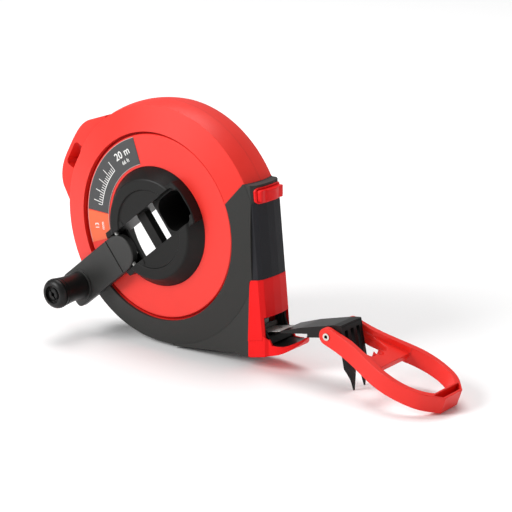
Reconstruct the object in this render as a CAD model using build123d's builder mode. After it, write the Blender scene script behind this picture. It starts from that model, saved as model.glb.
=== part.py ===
"""Closed-case long measuring tape with a folding winding crank, a claw hook and a pull ring.

Millimetres, +Z up. The drum turns about an axis along Y. The crank is on the front (-Y), the blade leaves
the nose towards +X, and the case stands on its round lower edge at Z = 0.
"""
from build123d import *
from math import cos, radians, sin, sqrt, pi
import os

os.makedirs("parts", exist_ok=True)

# ---- Place of the drum's axis, where it meets the face of the label disc ----
AXIS_X = -52.617
AXIS_Y = -2.294
AXIS_Z = 66.218

# ---- Case ----
DISC_OPENING_R = 50.6
CREASE_R = 64.0
CROWN_R = 65.6
RING_FRONT_Y = -1.5
CREASE_Y = 2.2
MID_Y = 13.5
REAR_Y = 2 * MID_Y - RING_FRONT_Y
REAR_CREASE_Y = 2 * MID_Y - CREASE_Y
REAR_FLAT_R = 52.0
REAR_OPENING_R = 46.1
WALL = 2.2
CAVITY_R = 61.0
SKIN = 1.5
COLLAR_WALL = 1.8
FRONT_COLLAR_Y = 4.7
REAR_COLLAR_Y = 22.2

# ---- Blade ----
BLADE_WIDTH = 13.0
BLADE_THICK = 0.3
BLADE_Y0 = MID_Y - BLADE_WIDTH / 2
BLADE_Y1 = MID_Y + BLADE_WIDTH / 2
TAPE_LENGTH = 20000.0
TAPE_PITCH = 0.27
BLADE_TILT = 12.5
BLADE_LEVEL = 1.6
BLADE_BACK = -96.0

# ---- Drum ----
CORE_IN_R = 38.2
CORE_OUT_R = 40.0
FLANGE_R = 58.6
COIL_R = sqrt(CORE_OUT_R ** 2 + TAPE_LENGTH * TAPE_PITCH / pi)
FLANGE_T = 1.4
FRONT_FLANGE_Y0 = BLADE_Y0 - 0.4 - FLANGE_T
REAR_FLANGE_Y0 = BLADE_Y1 + 0.4
DISC_R = 49.2
DISC_COLLAR_R = 49.36
REAR_JOURNAL_R = 44.0
RUNNING_GAP = 0.1
HUB_R = 31.9
HUB_LAND_Y = -7.5
HUB_BACK_Y = 10.5

# ---- Crank ----
ARM_ANGLE = 219.0
ARM_WIDTH = 19.8
ARM_THICK = 4.0
ARM_TIP = 72.5
ARM_ROOT = 17.2
HINGE_ALONG = 22.7
HINGE_Y = -5.5
HINGE_R = 1.0
CHANNEL_W = 20.5
KNOB_ALONG = 63.2
KNOB_R = 8.0
AXLE_R = 2.2
CUP_IN = -9.0
CUP_OUT = -28.0
CUP_W = 19.0
CUP_WALL = 1.2
CUP_FLOOR_Y = 19.5

# ---- Nose, seen from the side ----
NOSE_TOP_Z = 31.0
NOSE_TOP_X = 62.4
NOSE_LEAN = 0.0988
NOSE_NEAR_Y = CREASE_Y
NOSE_FAR_Y = REAR_CREASE_Y
SEAM_X = 58.3
SEAM_Z = -51.4
SEAM_SLOPE = 0.2207
HEEL_Z = -60.1
HEEL_STEP_Z = -60.9
GUARD_TOP_Z = -18.4
MOUTH_TOP_Z = -37.6
MOUTH_Y0 = 4.2
MOUTH_Y1 = 2 * MID_Y - MOUTH_Y0

# ---- Lock button ----
BUTTON_Z = 25.6
BUTTON_H = 6.0
BUTTON_Y0 = 4.4
BUTTON_Y1 = 2 * MID_Y - BUTTON_Y0

# ---- Hook and ring ----
PIN_X = 108.0
PIN_Z = -38.5
HOOK_HALF = 8.9
RING_DIP = 18.8
RING_LENGTH = 70.0
RING_HEIGHT = 9.0
RING_BAND = 2.8
RING_HALF = 20.0


def saved(part, name):
    """Label one finished piece and write it under the same name."""
    part.label = name
    export_step(part, f"parts/{name}.step")


def side(y):
    """Plane across the drum's axis, y behind the label disc: local x is +X, local y is +Z."""
    return Plane(origin=(AXIS_X, AXIS_Y + y, AXIS_Z), x_dir=(1, 0, 0), z_dir=(0, -1, 0))


def arm_side(y):
    """The same, turned so that local x runs along the crank arm."""
    a = radians(ARM_ANGLE)
    return Plane(origin=(AXIS_X, AXIS_Y + y, AXIS_Z), x_dir=(cos(a), 0, sin(a)), z_dir=(0, -1, 0))


def arm_depth(across):
    """Plane along the arm: local x runs along the arm, local y is +Y, moved across the arm."""
    a = radians(ARM_ANGLE)
    normal = Vector(-sin(a), 0, cos(a))
    return Plane(origin=Vector(AXIS_X, AXIS_Y, AXIS_Z) + normal * across, x_dir=(cos(a), 0, sin(a)), z_dir=normal)


def blade_side(y):
    """Plane across the eyelet pin: local x runs out along the blade, local y is off its face."""
    t = radians(BLADE_TILT)
    origin = (AXIS_X + PIN_X, AXIS_Y + y, AXIS_Z + PIN_Z)
    return Plane(origin=origin, x_dir=(cos(t), 0, sin(t)), z_dir=(0, -1, 0))


def blade_plan(level):
    """Plane along the blade: local x runs out along it, local y is +Y, at a level over the pin."""
    t = radians(BLADE_TILT)
    normal = Vector(-sin(t), 0, cos(t))
    origin = Vector(AXIS_X + PIN_X, AXIS_Y, AXIS_Z + PIN_Z) + normal * level
    return Plane(origin=origin, x_dir=(cos(t), 0, sin(t)), z_dir=normal)


def ring_plan(level):
    """Plane of the pull ring: local x runs from the pin to the ring's tip, local y is +Y."""
    t = radians(-RING_DIP)
    normal = Vector(-sin(t), 0, cos(t))
    origin = Vector(AXIS_X + PIN_X, AXIS_Y, AXIS_Z + PIN_Z) + normal * level
    return Plane(origin=origin, x_dir=(cos(t), 0, sin(t)), z_dir=normal)


DEPTH = Plane(origin=(AXIS_X, AXIS_Y, AXIS_Z), x_dir=(1, 0, 0), z_dir=(0, 0, 1))
DRUM_AXIS = Axis((AXIS_X, AXIS_Y, AXIS_Z), (0, 1, 0))


def turned(points):
    """Ring turned about the drum's axis from (radius, depth) corners."""
    with BuildPart() as ring:
        with BuildSketch(DEPTH):
            Polygon(*points, align=None)
        revolve(axis=DRUM_AXIS)
    return ring.part


def washer(r_in, r_out, y0, y1):
    """Plain turned ring between two radii and two depths."""
    return turned([(r_in, y0), (r_out, y0), (r_out, y1), (r_in, y1)])


def nose_x(z):
    """Where the nose's ridge is at a height over the drum's axis."""
    return NOSE_TOP_X + (NOSE_TOP_Z - z) * NOSE_LEAN


def seam_z(x):
    """Height of the seam between the case and the foot."""
    return SEAM_Z + (x - SEAM_X) * SEAM_SLOPE


def nose_block(inset):
    """Nose with its ridge and chamfered edges, drawn in by an inset."""
    top = NOSE_TOP_Z - inset
    low = seam_z(72.0) - 1.0
    with BuildPart() as block:
        with BuildSketch(side(NOSE_FAR_Y - inset)):
            Polygon(
                (38, top),
                (nose_x(top) - inset, top),
                (nose_x(low) - inset, low),
                (SEAM_X + 2 - inset, HEEL_Z + 0.5 + inset),
                (53.4, HEEL_STEP_Z + inset),
                (50.4, -59.7 + inset),
                (38, -58.0 + inset),
                align=None,
            )
        extrude(amount=NOSE_FAR_Y - NOSE_NEAR_Y - 2 * inset)
        lean = Vector(NOSE_LEAN, 0, -1).normalized()
        across = Vector(-lean.Z, 0, lean.X)
        origin = Vector(AXIS_X + NOSE_TOP_X, AXIS_Y + MID_Y, AXIS_Z + NOSE_TOP_Z + 4)
        half = (NOSE_FAR_Y - NOSE_NEAR_Y) / 2 - inset
        with BuildSketch(Plane(origin=origin, x_dir=across, z_dir=-lean)):
            Polygon(
                (-40, -half),
                (-3.4 - inset, -half),
                (-1.3 - inset, -half + 2.2),
                (-inset, 0),
                (-1.3 - inset, half - 2.2),
                (-3.4 - inset, half),
                (-40, half),
                align=None,
            )
        extrude(amount=-110, mode=Mode.INTERSECT)
    return block.part


def round_block(grow):
    """The round body with its sloping faces and crowned rim, grown outwards by an amount."""
    with BuildPart() as body:
        with BuildSketch(DEPTH):
            with BuildLine():
                Polyline(
                    (0, REAR_Y + grow),
                    (0, RING_FRONT_Y - grow),
                    (DISC_OPENING_R, RING_FRONT_Y - grow),
                    (CREASE_R + grow, CREASE_Y - grow),
                )
                ThreePointArc(
                    (CREASE_R + grow, CREASE_Y - grow),
                    (CROWN_R + grow, MID_Y),
                    (CREASE_R + grow, REAR_CREASE_Y + grow),
                )
                Polyline(
                    (CREASE_R + grow, REAR_CREASE_Y + grow),
                    (REAR_FLAT_R, REAR_Y + grow),
                    (0, REAR_Y + grow),
                )
            make_face()
        revolve(axis=DRUM_AXIS)
    return body.part


def keel_block():
    """Base under the case, from the round body's lowest point to the step at the heel."""
    with BuildPart() as keel:
        with BuildSketch(side(NOSE_FAR_Y)):
            Polygon((8, -50), (8, -64.9), (45.2, -60.4), (50.4, -59.7), (53.4, HEEL_STEP_Z), (SEAM_X, HEEL_Z),
                    (SEAM_X, -50), align=None)
        extrude(amount=NOSE_FAR_Y - NOSE_NEAR_Y)
    return keel.part


LUG_OUTLINE = [(CROWN_R, 126.0), (70.0, 135.0), (71.9, 140.5), (72.2, 147.0), (72.5, 155.0), (73.1, 162.0),
               (72.5, 167.0), (70.4, 171.6), (CROWN_R, 177.5)]


def lug_block():
    """Strap lug on the upper left of the rim."""
    with BuildPart() as lug:
        with BuildSketch(side(MID_Y + 9.5)):
            with BuildLine():
                outline = [(r * cos(radians(t)), r * sin(radians(t))) for r, t in LUG_OUTLINE]
                Line(outline[0], outline[1])
                Spline(*outline[1:-1])
                Line(outline[-2], outline[-1])
                Polyline(outline[-1], (-50, 0), (-30, 30), outline[0])
            make_face()
        extrude(amount=19)
    return lug.part


def slot_block():
    """The slot for a wrist strap, through the lug."""
    with BuildPart() as slot:
        with BuildSketch(side(MID_Y + 14)):
            with PolarLocations(66.9, 1, start_angle=155.0):
                RectangleRounded(7.0, 14.6, 2.2, rotation=-4.7)
        extrude(amount=28)
    return slot.part


def region(points, y0=-6.0, y1=33.0):
    """Prism across the whole case over a side outline."""
    with BuildPart() as prism:
        with BuildSketch(side(y1)):
            Polygon(*points, align=None)
        extrude(amount=y1 - y0)
    return prism.part


def half_space(front):
    """Everything on one side of the case's parting plane."""
    y0 = -40.0 if front else MID_Y
    y1 = MID_Y if front else 60.0
    return region([(-200, -200), (300, -200), (300, 200), (-200, 200)], y0, y1)


def grip_region():
    """Side outline of the soft grip: the lower case and the nose."""
    return region([(37.5, 8.7), (55.2, NOSE_TOP_Z + 0.2), (90, NOSE_TOP_Z + 0.6), (90, -90), (-85.7, -90),
                   (-85.7, -51.5), (-20, -12), (0, 0)])


def guard_region():
    """Side outline of the mouth guard on the nose."""
    with BuildPart() as guard:
        with BuildSketch(side(33)):
            with BuildLine():
                Polyline((SEAM_X, SEAM_Z), (59.3, GUARD_TOP_Z - 1.6))
                ThreePointArc((59.3, GUARD_TOP_Z - 1.6), (59.8, GUARD_TOP_Z - 0.5), (60.9, GUARD_TOP_Z))
                Polyline((60.9, GUARD_TOP_Z), (95, GUARD_TOP_Z + 5.8), (95, seam_z(95)), (SEAM_X, SEAM_Z))
            make_face()
        extrude(amount=39)
    return guard.part


def foot_region():
    """Side outline of everything under the seam, in front of the heel."""
    return region([(SEAM_X, SEAM_Z), (95, seam_z(95)), (95, -90), (SEAM_X, -90)])


def panel_region():
    """Side outline of the grip panel on the nose's front."""
    return region([(60.2, 21.6), (90, 26.8), (90, -13.3), (60.9, GUARD_TOP_Z + 0.01), (60.6, 3.0)])


def ring_cavity():
    """Room for the drum inside the round body."""
    with BuildPart() as cavity:
        with BuildSketch(DEPTH):
            Polygon(
                (0, 0.9),
                (DISC_OPENING_R, 0.9),
                (CAVITY_R, CREASE_Y + 1.8),
                (CAVITY_R, REAR_CREASE_Y - 1.8),
                (REAR_FLAT_R, REAR_Y - WALL),
                (0, REAR_Y - WALL),
                align=None,
            )
        revolve(axis=DRUM_AXIS)
    return cavity.part


def blade_channel():
    """Way out for the blade, from the drum's room through the mouth."""
    with BuildPart() as channel:
        with BuildSketch(side(MOUTH_Y1)):
            Polygon((20, -50), (44, -43), (60, -38.8), (64, MOUTH_TOP_Z), (80, MOUTH_TOP_Z + 0.6), (80, -45),
                    (66, -49.3), (20, -58.0), align=None)
        extrude(amount=MOUTH_Y1 - MOUTH_Y0)
    return channel.part


def button_hole(grow):
    """Hole for the lock button through the nose, grown on every side."""
    with BuildPart() as hole:
        with BuildSketch(side(BUTTON_Y1 + grow)):
            with Locations((62.5, BUTTON_Z)):
                Rectangle(11.0, BUTTON_H + 2 * grow)
        extrude(amount=BUTTON_Y1 - BUTTON_Y0 + 2 * grow)
        fillet(hole.edges().filter_by(Axis.X), 1.0 + grow)
    return hole.part


def body_without(inset_parts, cuts, keep):
    """Join the given solids, cut the others away and keep what lies in the last one."""
    with BuildPart() as result:
        for solid in inset_parts:
            add(solid)
        for cut in cuts:
            add(cut, mode=Mode.SUBTRACT)
        add(keep, mode=Mode.INTERSECT)
    return result.part


def skin_block():
    """The outer skin of the case, between its surface and the surface under the soft grip."""
    with BuildPart() as skin:
        add(round_block(0.12))
        add(nose_block(0))
        add(keel_block())
        add(round_block(-SKIN), mode=Mode.SUBTRACT)
        add(nose_block(SKIN), mode=Mode.SUBTRACT)
    return skin.part


# ================= Case =================
LINER_OUTLINE = [(60.6, -39.2), (64.4, MOUTH_TOP_Z - 0.2), (66.6, MOUTH_TOP_Z - 0.2), (67.0, -42.0), (68.6, -46.2),
                 (70.6, -48.0), (66.4, -49.0), (60.6, -50.6)]
FRAME_X0 = 65.4
FRAME_X1 = 66.4
FRAME_Y0 = 3.3
FRAME_Y1 = 2 * MID_Y - FRAME_Y0
OUTER = [round_block(0), nose_block(0), keel_block(), lug_block()]
ROOM = [ring_cavity(), nose_block(SKIN + 2.0), blade_channel()]
HOLES = [slot_block(), button_hole(1.1)]
SKIN_BLOCK = skin_block()
SCREW_R = 0.9
SCREW_HEAD_R = 1.5
SCREW_CIRCLE_R = 62.2
SCREW_ANGLES = (30.0, 66.0, 112.0, 200.0, 243.0, 286.0)
SCREW_HEAD_Y = 24.6


def screw_tools(radius, y0, y1):
    """Round posts at the places of the case's screws."""
    with BuildPart() as posts:
        with BuildSketch(side(y1)):
            for angle in SCREW_ANGLES:
                with PolarLocations(SCREW_CIRCLE_R, 1, start_angle=angle):
                    Circle(radius)
        extrude(amount=y1 - y0)
    return posts.part


SCREW_HOLES = [screw_tools(SCREW_R, 6.0, SCREW_HEAD_Y), screw_tools(SCREW_HEAD_R, SCREW_HEAD_Y - 1.6, 40)]

with BuildPart() as case_screws:
    add(screw_tools(SCREW_HEAD_R, SCREW_HEAD_Y - 1.6, SCREW_HEAD_Y))
    add(screw_tools(SCREW_R, 6.0, SCREW_HEAD_Y))
    with BuildSketch(side(SCREW_HEAD_Y)):
        for screw_angle in SCREW_ANGLES:
            with PolarLocations(SCREW_CIRCLE_R, 1, start_angle=screw_angle):
                Rectangle(2.0, 0.45)
                Rectangle(0.45, 2.0)
    extrude(amount=0.7, mode=Mode.SUBTRACT)
saved(case_screws.part, "case_screws")
FRONT_BORE = washer(0, DISC_OPENING_R, -20, 12)
REAR_BORE = washer(0, REAR_OPENING_R, 12, 40)

with BuildPart() as grip_skin:
    add(SKIN_BLOCK)
    add(grip_region(), mode=Mode.INTERSECT)

with BuildPart() as nose_panel:
    add(nose_block(-0.25))
    add(nose_block(SKIN), mode=Mode.SUBTRACT)
    add(panel_region(), mode=Mode.INTERSECT)
    add(region([(nose_x(0) - 6, -30), (90, -30), (90, 40), (nose_x(40) - 6, 40)], NOSE_NEAR_Y, NOSE_FAR_Y),
        mode=Mode.INTERSECT)
    add(button_hole(1.1), mode=Mode.SUBTRACT)
saved(nose_panel.part, "nose_panel")

with BuildPart() as shell:
    for solid in OUTER:
        add(solid)
    for cut in [grip_skin.part, nose_panel.part, foot_region(), guard_region()] + ROOM + HOLES + SCREW_HOLES:
        add(cut, mode=Mode.SUBTRACT)

with BuildPart() as front_shell:
    add(shell.part)
    add(half_space(True), mode=Mode.INTERSECT)
    add(washer(DISC_OPENING_R, DISC_OPENING_R + COLLAR_WALL, 0.9, FRONT_COLLAR_Y))
    add(FRONT_BORE, mode=Mode.SUBTRACT)
saved(front_shell.part, "front_shell")

with BuildPart() as rear_shell:
    add(shell.part)
    add(half_space(False), mode=Mode.INTERSECT)
    add(washer(REAR_OPENING_R, REAR_OPENING_R + COLLAR_WALL, REAR_COLLAR_Y, REAR_Y - SKIN - 0.2))
    add(REAR_BORE, mode=Mode.SUBTRACT)
saved(rear_shell.part, "rear_shell")

for name, front in (("front_grip", True), ("rear_grip", False)):
    with BuildPart() as grip:
        add(grip_skin.part)
        cuts = [foot_region(), guard_region(), panel_region(), blade_channel(), button_hole(1.1)] + SCREW_HOLES
        for cut in cuts + [FRONT_BORE if front else REAR_BORE, slot_block()]:
            add(cut, mode=Mode.SUBTRACT)
        add(half_space(front), mode=Mode.INTERSECT)
    saved(grip.part, name)

FOOT_TIP = 88.1


def foot_plan(inset):
    """Seen from above: the foot's straight sides and its rounded prow, as a prism."""
    near = NOSE_NEAR_Y + inset
    far = NOSE_FAR_Y - inset
    tip = FOOT_TIP - inset
    with BuildPart() as plan:
        with BuildSketch(Plane(origin=(AXIS_X, AXIS_Y, AXIS_Z - 70), z_dir=(0, 0, 1))):
            with BuildLine():
                Polyline((tip - 17.5, far - 1.2), (tip - 19.1, far), (40, far), (40, near), (tip - 19.1, near),
                         (tip - 17.5, near + 1.2))
                ThreePointArc((tip - 17.5, near + 1.2), (tip - 4.2, MID_Y - 6.2), (tip, MID_Y))
                ThreePointArc((tip, MID_Y), (tip - 4.2, MID_Y + 6.2), (tip - 17.5, far - 1.2))
            make_face()
        extrude(amount=30)
    return plan.part


def cheek_flare():
    """Where the cheeks of the mouth run out into the foot."""
    with BuildPart() as flare:
        with BuildSketch(side(NOSE_FAR_Y)):
            with BuildLine():
                ThreePointArc((66.0, -43.0), (67.4, -46.4), (70.2, -48.4))
                Polyline((70.2, -48.4), (70.2, -49.2), (66.0, -49.9), (66.0, -43.0))
            make_face()
        extrude(amount=NOSE_FAR_Y - NOSE_NEAR_Y)
    return flare.part


with BuildPart() as mouth_guard:
    add(nose_block(-0.3))
    add(guard_region(), mode=Mode.INTERSECT)
    add(nose_block(SKIN + 2.0), mode=Mode.SUBTRACT)
    add(body_without([cheek_flare()], [], foot_plan(0)))
    add(region([(FRAME_X0, -52), (FRAME_X0, MOUTH_TOP_Z), (80, MOUTH_TOP_Z + 0.6), (80, -52)], FRAME_Y0, FRAME_Y1),
        mode=Mode.SUBTRACT)
    add(foot_region(), mode=Mode.SUBTRACT)
    add(blade_channel(), mode=Mode.SUBTRACT)
    add(ring_cavity(), mode=Mode.SUBTRACT)
    with BuildSketch(side(MOUTH_Y1)):
        Polygon(*LINER_OUTLINE, align=None)
    extrude(amount=MOUTH_Y1 - MOUTH_Y0, mode=Mode.SUBTRACT)
saved(mouth_guard.part, "mouth_guard")


def scoop_outline(drop, tail):
    """Side outline of the space over the foot's scoop, its floor lowered by a drop."""
    with BuildPart() as scoop:
        with BuildSketch(side(NOSE_FAR_Y - 2.0)):
            with BuildLine():
                Polyline((tail, -51.2 - drop), (73.4, -51.8 - drop))
                ThreePointArc((73.4, -51.8 - drop), (81.4, -50.2 - drop), (88.4, -45.6 - drop))
                Polyline((88.4, -45.6 - drop), (92, -40), (tail, -40), (tail, -51.2 - drop))
            make_face()
        extrude(amount=NOSE_FAR_Y - NOSE_NEAR_Y - 4.0)
    return scoop.part


INSERT_T = 1.2
with BuildPart() as foot:
    with BuildSketch(side(NOSE_FAR_Y)):
        with BuildLine():
            Polyline((SEAM_X, SEAM_Z), (71.0, seam_z(71.0)), (72.8, -51.5))
            ThreePointArc((72.8, -51.5), (81.2, -50.1), (87.9, -46.0))
            Polyline((87.9, -46.0), (FOOT_TIP, -46.8))
            ThreePointArc((FOOT_TIP, -46.8), (81.9, -52.9), (74.6, -56.3))
            Polyline((74.6, -56.3), (68.7, -58.1), (60.0, HEEL_Z), (SEAM_X, HEEL_Z), (SEAM_X, SEAM_Z))
        make_face()
    extrude(amount=NOSE_FAR_Y - NOSE_NEAR_Y)
    add(foot_plan(0), mode=Mode.INTERSECT)
    add(body_without([scoop_outline(INSERT_T, 68.0)], [], foot_plan(1.4)), mode=Mode.SUBTRACT)
    add(scoop_outline(0, 66.5), mode=Mode.SUBTRACT)
    add(blade_channel(), mode=Mode.SUBTRACT)
saved(foot.part, "foot")

with BuildPart() as foot_insert:
    add(scoop_outline(INSERT_T, 68.0))
    add(scoop_outline(0, 60.0), mode=Mode.SUBTRACT)
    add(foot_plan(1.4), mode=Mode.INTERSECT)
saved(foot_insert.part, "foot_insert")

LINER_T = 0.9
with BuildPart() as mouth_liner:
    with BuildSketch(side(MOUTH_Y1)):
        Polygon(*LINER_OUTLINE, align=None)
    extrude(amount=MOUTH_Y1 - MOUTH_Y0)
    add(region([(FRAME_X0, -48.8), (FRAME_X0, MOUTH_TOP_Z), (FRAME_X1, MOUTH_TOP_Z), (FRAME_X1, -48.6)],
               FRAME_Y0, FRAME_Y1))
    add(region([(66.6, -48.6), (70.2, -47.8), (71.6, -51.1), (67.2, -51.1)], MOUTH_Y0 + 0.2, MOUTH_Y1 - 0.2))
    with BuildSketch(side(MOUTH_Y1 - LINER_T)):
        Polygon((59, -40.4), (64.4, -38.9), (76, -38.3), (76, -45.4), (68, -47.7), (59, -50.0), align=None)
    extrude(amount=MOUTH_Y1 - MOUTH_Y0 - 2 * LINER_T, mode=Mode.SUBTRACT)
    with BuildSketch(side(MOUTH_Y1 - LINER_T)):
        with Locations((63.4, -43.0), (65.4, -43.0)):
            Rectangle(0.7, 7.0)
    extrude(amount=0.6)
saved(mouth_liner.part, "mouth_liner")

FELT_S = -46.9
with BuildPart() as felt_wipers:
    with BuildSketch(blade_side(MOUTH_Y1 - LINER_T)):
        with Locations((FELT_S, BLADE_LEVEL + BLADE_THICK / 2 + 1.35)):
            Rectangle(1.8, 2.1)
        with Locations((FELT_S, BLADE_LEVEL - BLADE_THICK / 2 - 0.75)):
            Rectangle(1.8, 0.9)
    extrude(amount=MOUTH_Y1 - MOUTH_Y0 - 2 * LINER_T)
saved(felt_wipers.part, "felt_wipers")

saved(washer(DISC_COLLAR_R + RUNNING_GAP, DISC_OPENING_R, 1.5, 5.2), "front_bearing_ring")
saved(washer(REAR_JOURNAL_R + RUNNING_GAP, REAR_OPENING_R, REAR_COLLAR_Y + 0.2, 26.6), "rear_bearing_ring")

# ================= Guide roller =================
ROLLER_R = 3.4
ROLLER_BORE = 1.25
ROLLER_AT = (-53.0, BLADE_LEVEL + BLADE_THICK / 2 + 0.3 + ROLLER_R)

with BuildPart() as guide_roller:
    with BuildSketch(blade_side(MID_Y + 6.3)):
        with Locations(ROLLER_AT):
            Circle(ROLLER_R)
            Circle(ROLLER_BORE, mode=Mode.SUBTRACT)
    extrude(amount=12.6)
    fillet(guide_roller.faces().filter_by(Axis.Y).edges().filter_by(lambda e: e.radius > 2), 0.4)
saved(guide_roller.part, "guide_roller")

with BuildPart() as roller_pin:
    with BuildSketch(blade_side(MID_Y + 8.9)):
        with Locations(ROLLER_AT):
            Circle(ROLLER_BORE - 0.05)
    extrude(amount=17.8)
saved(roller_pin.part, "roller_pin")

# ================= Lock button and brake =================
BUTTON_BACK = 60.1
STEM_R = 1.6
PLATE_X = 56.4
PLATE_T = 0.8
BRAKE_TRAVEL = 1.5
PAD_BACK = 56.1


def across_x(x):
    """Plane facing +X: local x is +Y, local y is +Z."""
    return Plane(origin=(AXIS_X + x, AXIS_Y, AXIS_Z), x_dir=(0, 1, 0), z_dir=(1, 0, 0))


with BuildPart() as lock_button:
    with BuildSketch(Plane(origin=(AXIS_X, AXIS_Y, AXIS_Z + BUTTON_Z - BUTTON_H / 2), z_dir=(0, 0, 1))):
        with BuildLine():
            Polyline((65.4, BUTTON_Y1 - 4.2), (65.6, BUTTON_Y1 - 1.2), (64.9, BUTTON_Y1), (BUTTON_BACK, BUTTON_Y1),
                     (BUTTON_BACK, BUTTON_Y0), (63.6, BUTTON_Y0), (64.6, BUTTON_Y0 + 0.6), (64.9, BUTTON_Y0 + 1.8),
                     (64.6, BUTTON_Y0 + 4.4), (65.4, BUTTON_Y0 + 5.0))
            ThreePointArc((65.4, BUTTON_Y0 + 5.0), (66.4, MID_Y + 1.0), (65.4, BUTTON_Y1 - 4.2))
        make_face()
    extrude(amount=BUTTON_H)
    add(button_hole(0), mode=Mode.INTERSECT)
    with BuildSketch(across_x(PAD_BACK)):
        with Locations((MID_Y, BUTTON_Z)):
            Circle(STEM_R)
    extrude(amount=BUTTON_BACK - PAD_BACK)
saved(lock_button.part, "lock_button")

with BuildPart() as button_bezel:
    add(button_hole(1.1))
    add(button_hole(0.3), mode=Mode.SUBTRACT)
    add(nose_block(-0.5), mode=Mode.INTERSECT)
    add(region([(60.4, 0), (90, 0), (90, 60), (60.4, 60)]), mode=Mode.INTERSECT)
saved(button_bezel.part, "button_bezel")

with BuildPart() as spring_plate:
    with BuildSketch(across_x(PLATE_X)):
        with Locations((MID_Y, BUTTON_Z - 0.6)):
            Rectangle(NOSE_FAR_Y - NOSE_NEAR_Y - 2 * (SKIN + 2.9), 3.9)
        with Locations((MID_Y, BUTTON_Z)):
            Circle(STEM_R + 0.06, mode=Mode.SUBTRACT)
    extrude(amount=PLATE_T)
saved(spring_plate.part, "spring_plate")

with BuildPart() as brake_pad:
    with BuildSketch(side(MID_Y + 6.0)):
        with Locations((PAD_BACK - 1.6, BUTTON_Z - 0.6)):
            Rectangle(3.2, 3.8)
        with Locations((BRAKE_TRAVEL, 0)):
            Circle(FLANGE_R + 0.4, mode=Mode.SUBTRACT)
    extrude(amount=12.0)
saved(brake_pad.part, "brake_pad")

SPRING_TURNS = 2.5
SPRING_R = 2.5
WIRE_R = 0.22
with BuildPart() as brake_spring:
    spring_start = PLATE_X + PLATE_T + WIRE_R + 0.05
    spring_length = BUTTON_BACK - WIRE_R - 0.05 - spring_start
    with BuildLine() as spring_line:
        Helix(
            pitch=spring_length / SPRING_TURNS,
            height=spring_length,
            radius=SPRING_R,
            center=(AXIS_X + spring_start, AXIS_Y + MID_Y, AXIS_Z + BUTTON_Z),
            direction=(1, 0, 0),
        )
    with BuildSketch(spring_line.line ^ 0):
        Circle(WIRE_R)
    sweep()
saved(brake_spring.part, "brake_spring")

# ================= Drum =================
HUB_FLANGE_R = 36.4
HUB_SCREW_R = 34.4
HUB_SCREWS = 6
LABEL_T = 0.2
LABEL_R0 = 33.5
LABEL_R1 = 48.3

with BuildPart() as label_disc:
    with BuildSketch(DEPTH):
        Polygon((HUB_R + 0.2, 0), (DISC_R - 0.4, 0), (DISC_R, 0.4), (DISC_R, 1.6), (DISC_COLLAR_R, 1.8),
                (DISC_COLLAR_R, FRONT_FLANGE_Y0), (DISC_COLLAR_R - 1.8, FRONT_FLANGE_Y0),
                (DISC_COLLAR_R - 1.8, 2.0), (HUB_R + 0.2, 2.0), align=None)
    revolve(axis=DRUM_AXIS)
saved(label_disc.part, "label_disc")

for name, start, sweep_angle in (("length_label", 109.0, 69.0), ("class_label", 178.6, 21.4)):
    with BuildPart() as label:
        with BuildSketch(side(0)):
            with BuildLine():
                first = CenterArc((0, 0), LABEL_R1, start, sweep_angle)
                second = CenterArc((0, 0), LABEL_R0, start, sweep_angle)
                Line(first @ 0, second @ 0)
                Line(first @ 1, second @ 1)
            make_face()
        extrude(amount=LABEL_T)
    saved(label.part, name)

with BuildPart() as front_flange:
    with BuildSketch(side(FRONT_FLANGE_Y0 + FLANGE_T)):
        Circle(FLANGE_R)
        Circle(HUB_R + 0.3, mode=Mode.SUBTRACT)
        with PolarLocations(52.5, 8):
            SlotOverall(7, 3.2, rotation=90, mode=Mode.SUBTRACT)
    extrude(amount=FLANGE_T)
    with BuildSketch(side(FRONT_FLANGE_Y0 + FLANGE_T)):
        with PolarLocations(HUB_SCREW_R, HUB_SCREWS):
            Circle(1.0)
    extrude(amount=FLANGE_T, mode=Mode.SUBTRACT)
saved(front_flange.part, "front_flange")

with BuildPart() as rear_flange:
    with BuildSketch(side(REAR_FLANGE_Y0 + FLANGE_T)):
        Circle(FLANGE_R)
        Circle(CORE_OUT_R, mode=Mode.SUBTRACT)
        with PolarLocations(52.5, 8):
            SlotOverall(7, 3.2, rotation=90, mode=Mode.SUBTRACT)
    extrude(amount=FLANGE_T)
saved(rear_flange.part, "rear_flange")

CORE_FRONT = FRONT_FLANGE_Y0 + FLANGE_T
CORE_REAR = 27.2
with BuildPart() as drum_core:
    with BuildSketch(DEPTH):
        Polygon((CORE_IN_R, CORE_FRONT), (CORE_OUT_R, CORE_FRONT), (CORE_OUT_R, REAR_FLANGE_Y0 + FLANGE_T),
                (REAR_JOURNAL_R, REAR_FLANGE_Y0 + FLANGE_T), (REAR_JOURNAL_R, CORE_REAR - 0.5),
                (REAR_JOURNAL_R - 0.5, CORE_REAR), (REAR_JOURNAL_R - 1.6, CORE_REAR),
                (REAR_JOURNAL_R - 1.6, 23.6), (CORE_IN_R, 22.4), align=None)
    revolve(axis=DRUM_AXIS)
    with BuildSketch(DEPTH):
        Polygon((CORE_IN_R - 5.0, CORE_FRONT), (CORE_IN_R + 0.01, CORE_FRONT), (CORE_IN_R + 0.01, CORE_FRONT + 1.2),
                (CORE_IN_R - 5.0, CORE_FRONT + 1.2), align=None)
    revolve(axis=DRUM_AXIS)
    with BuildSketch(side(CORE_FRONT + 2)):
        with PolarLocations(HUB_SCREW_R, HUB_SCREWS):
            Circle(1.0)
    extrude(amount=4, mode=Mode.SUBTRACT)
saved(drum_core.part, "drum_core")

saved(washer(CORE_OUT_R, COIL_R, BLADE_Y0, BLADE_Y1), "tape_coil")

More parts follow.
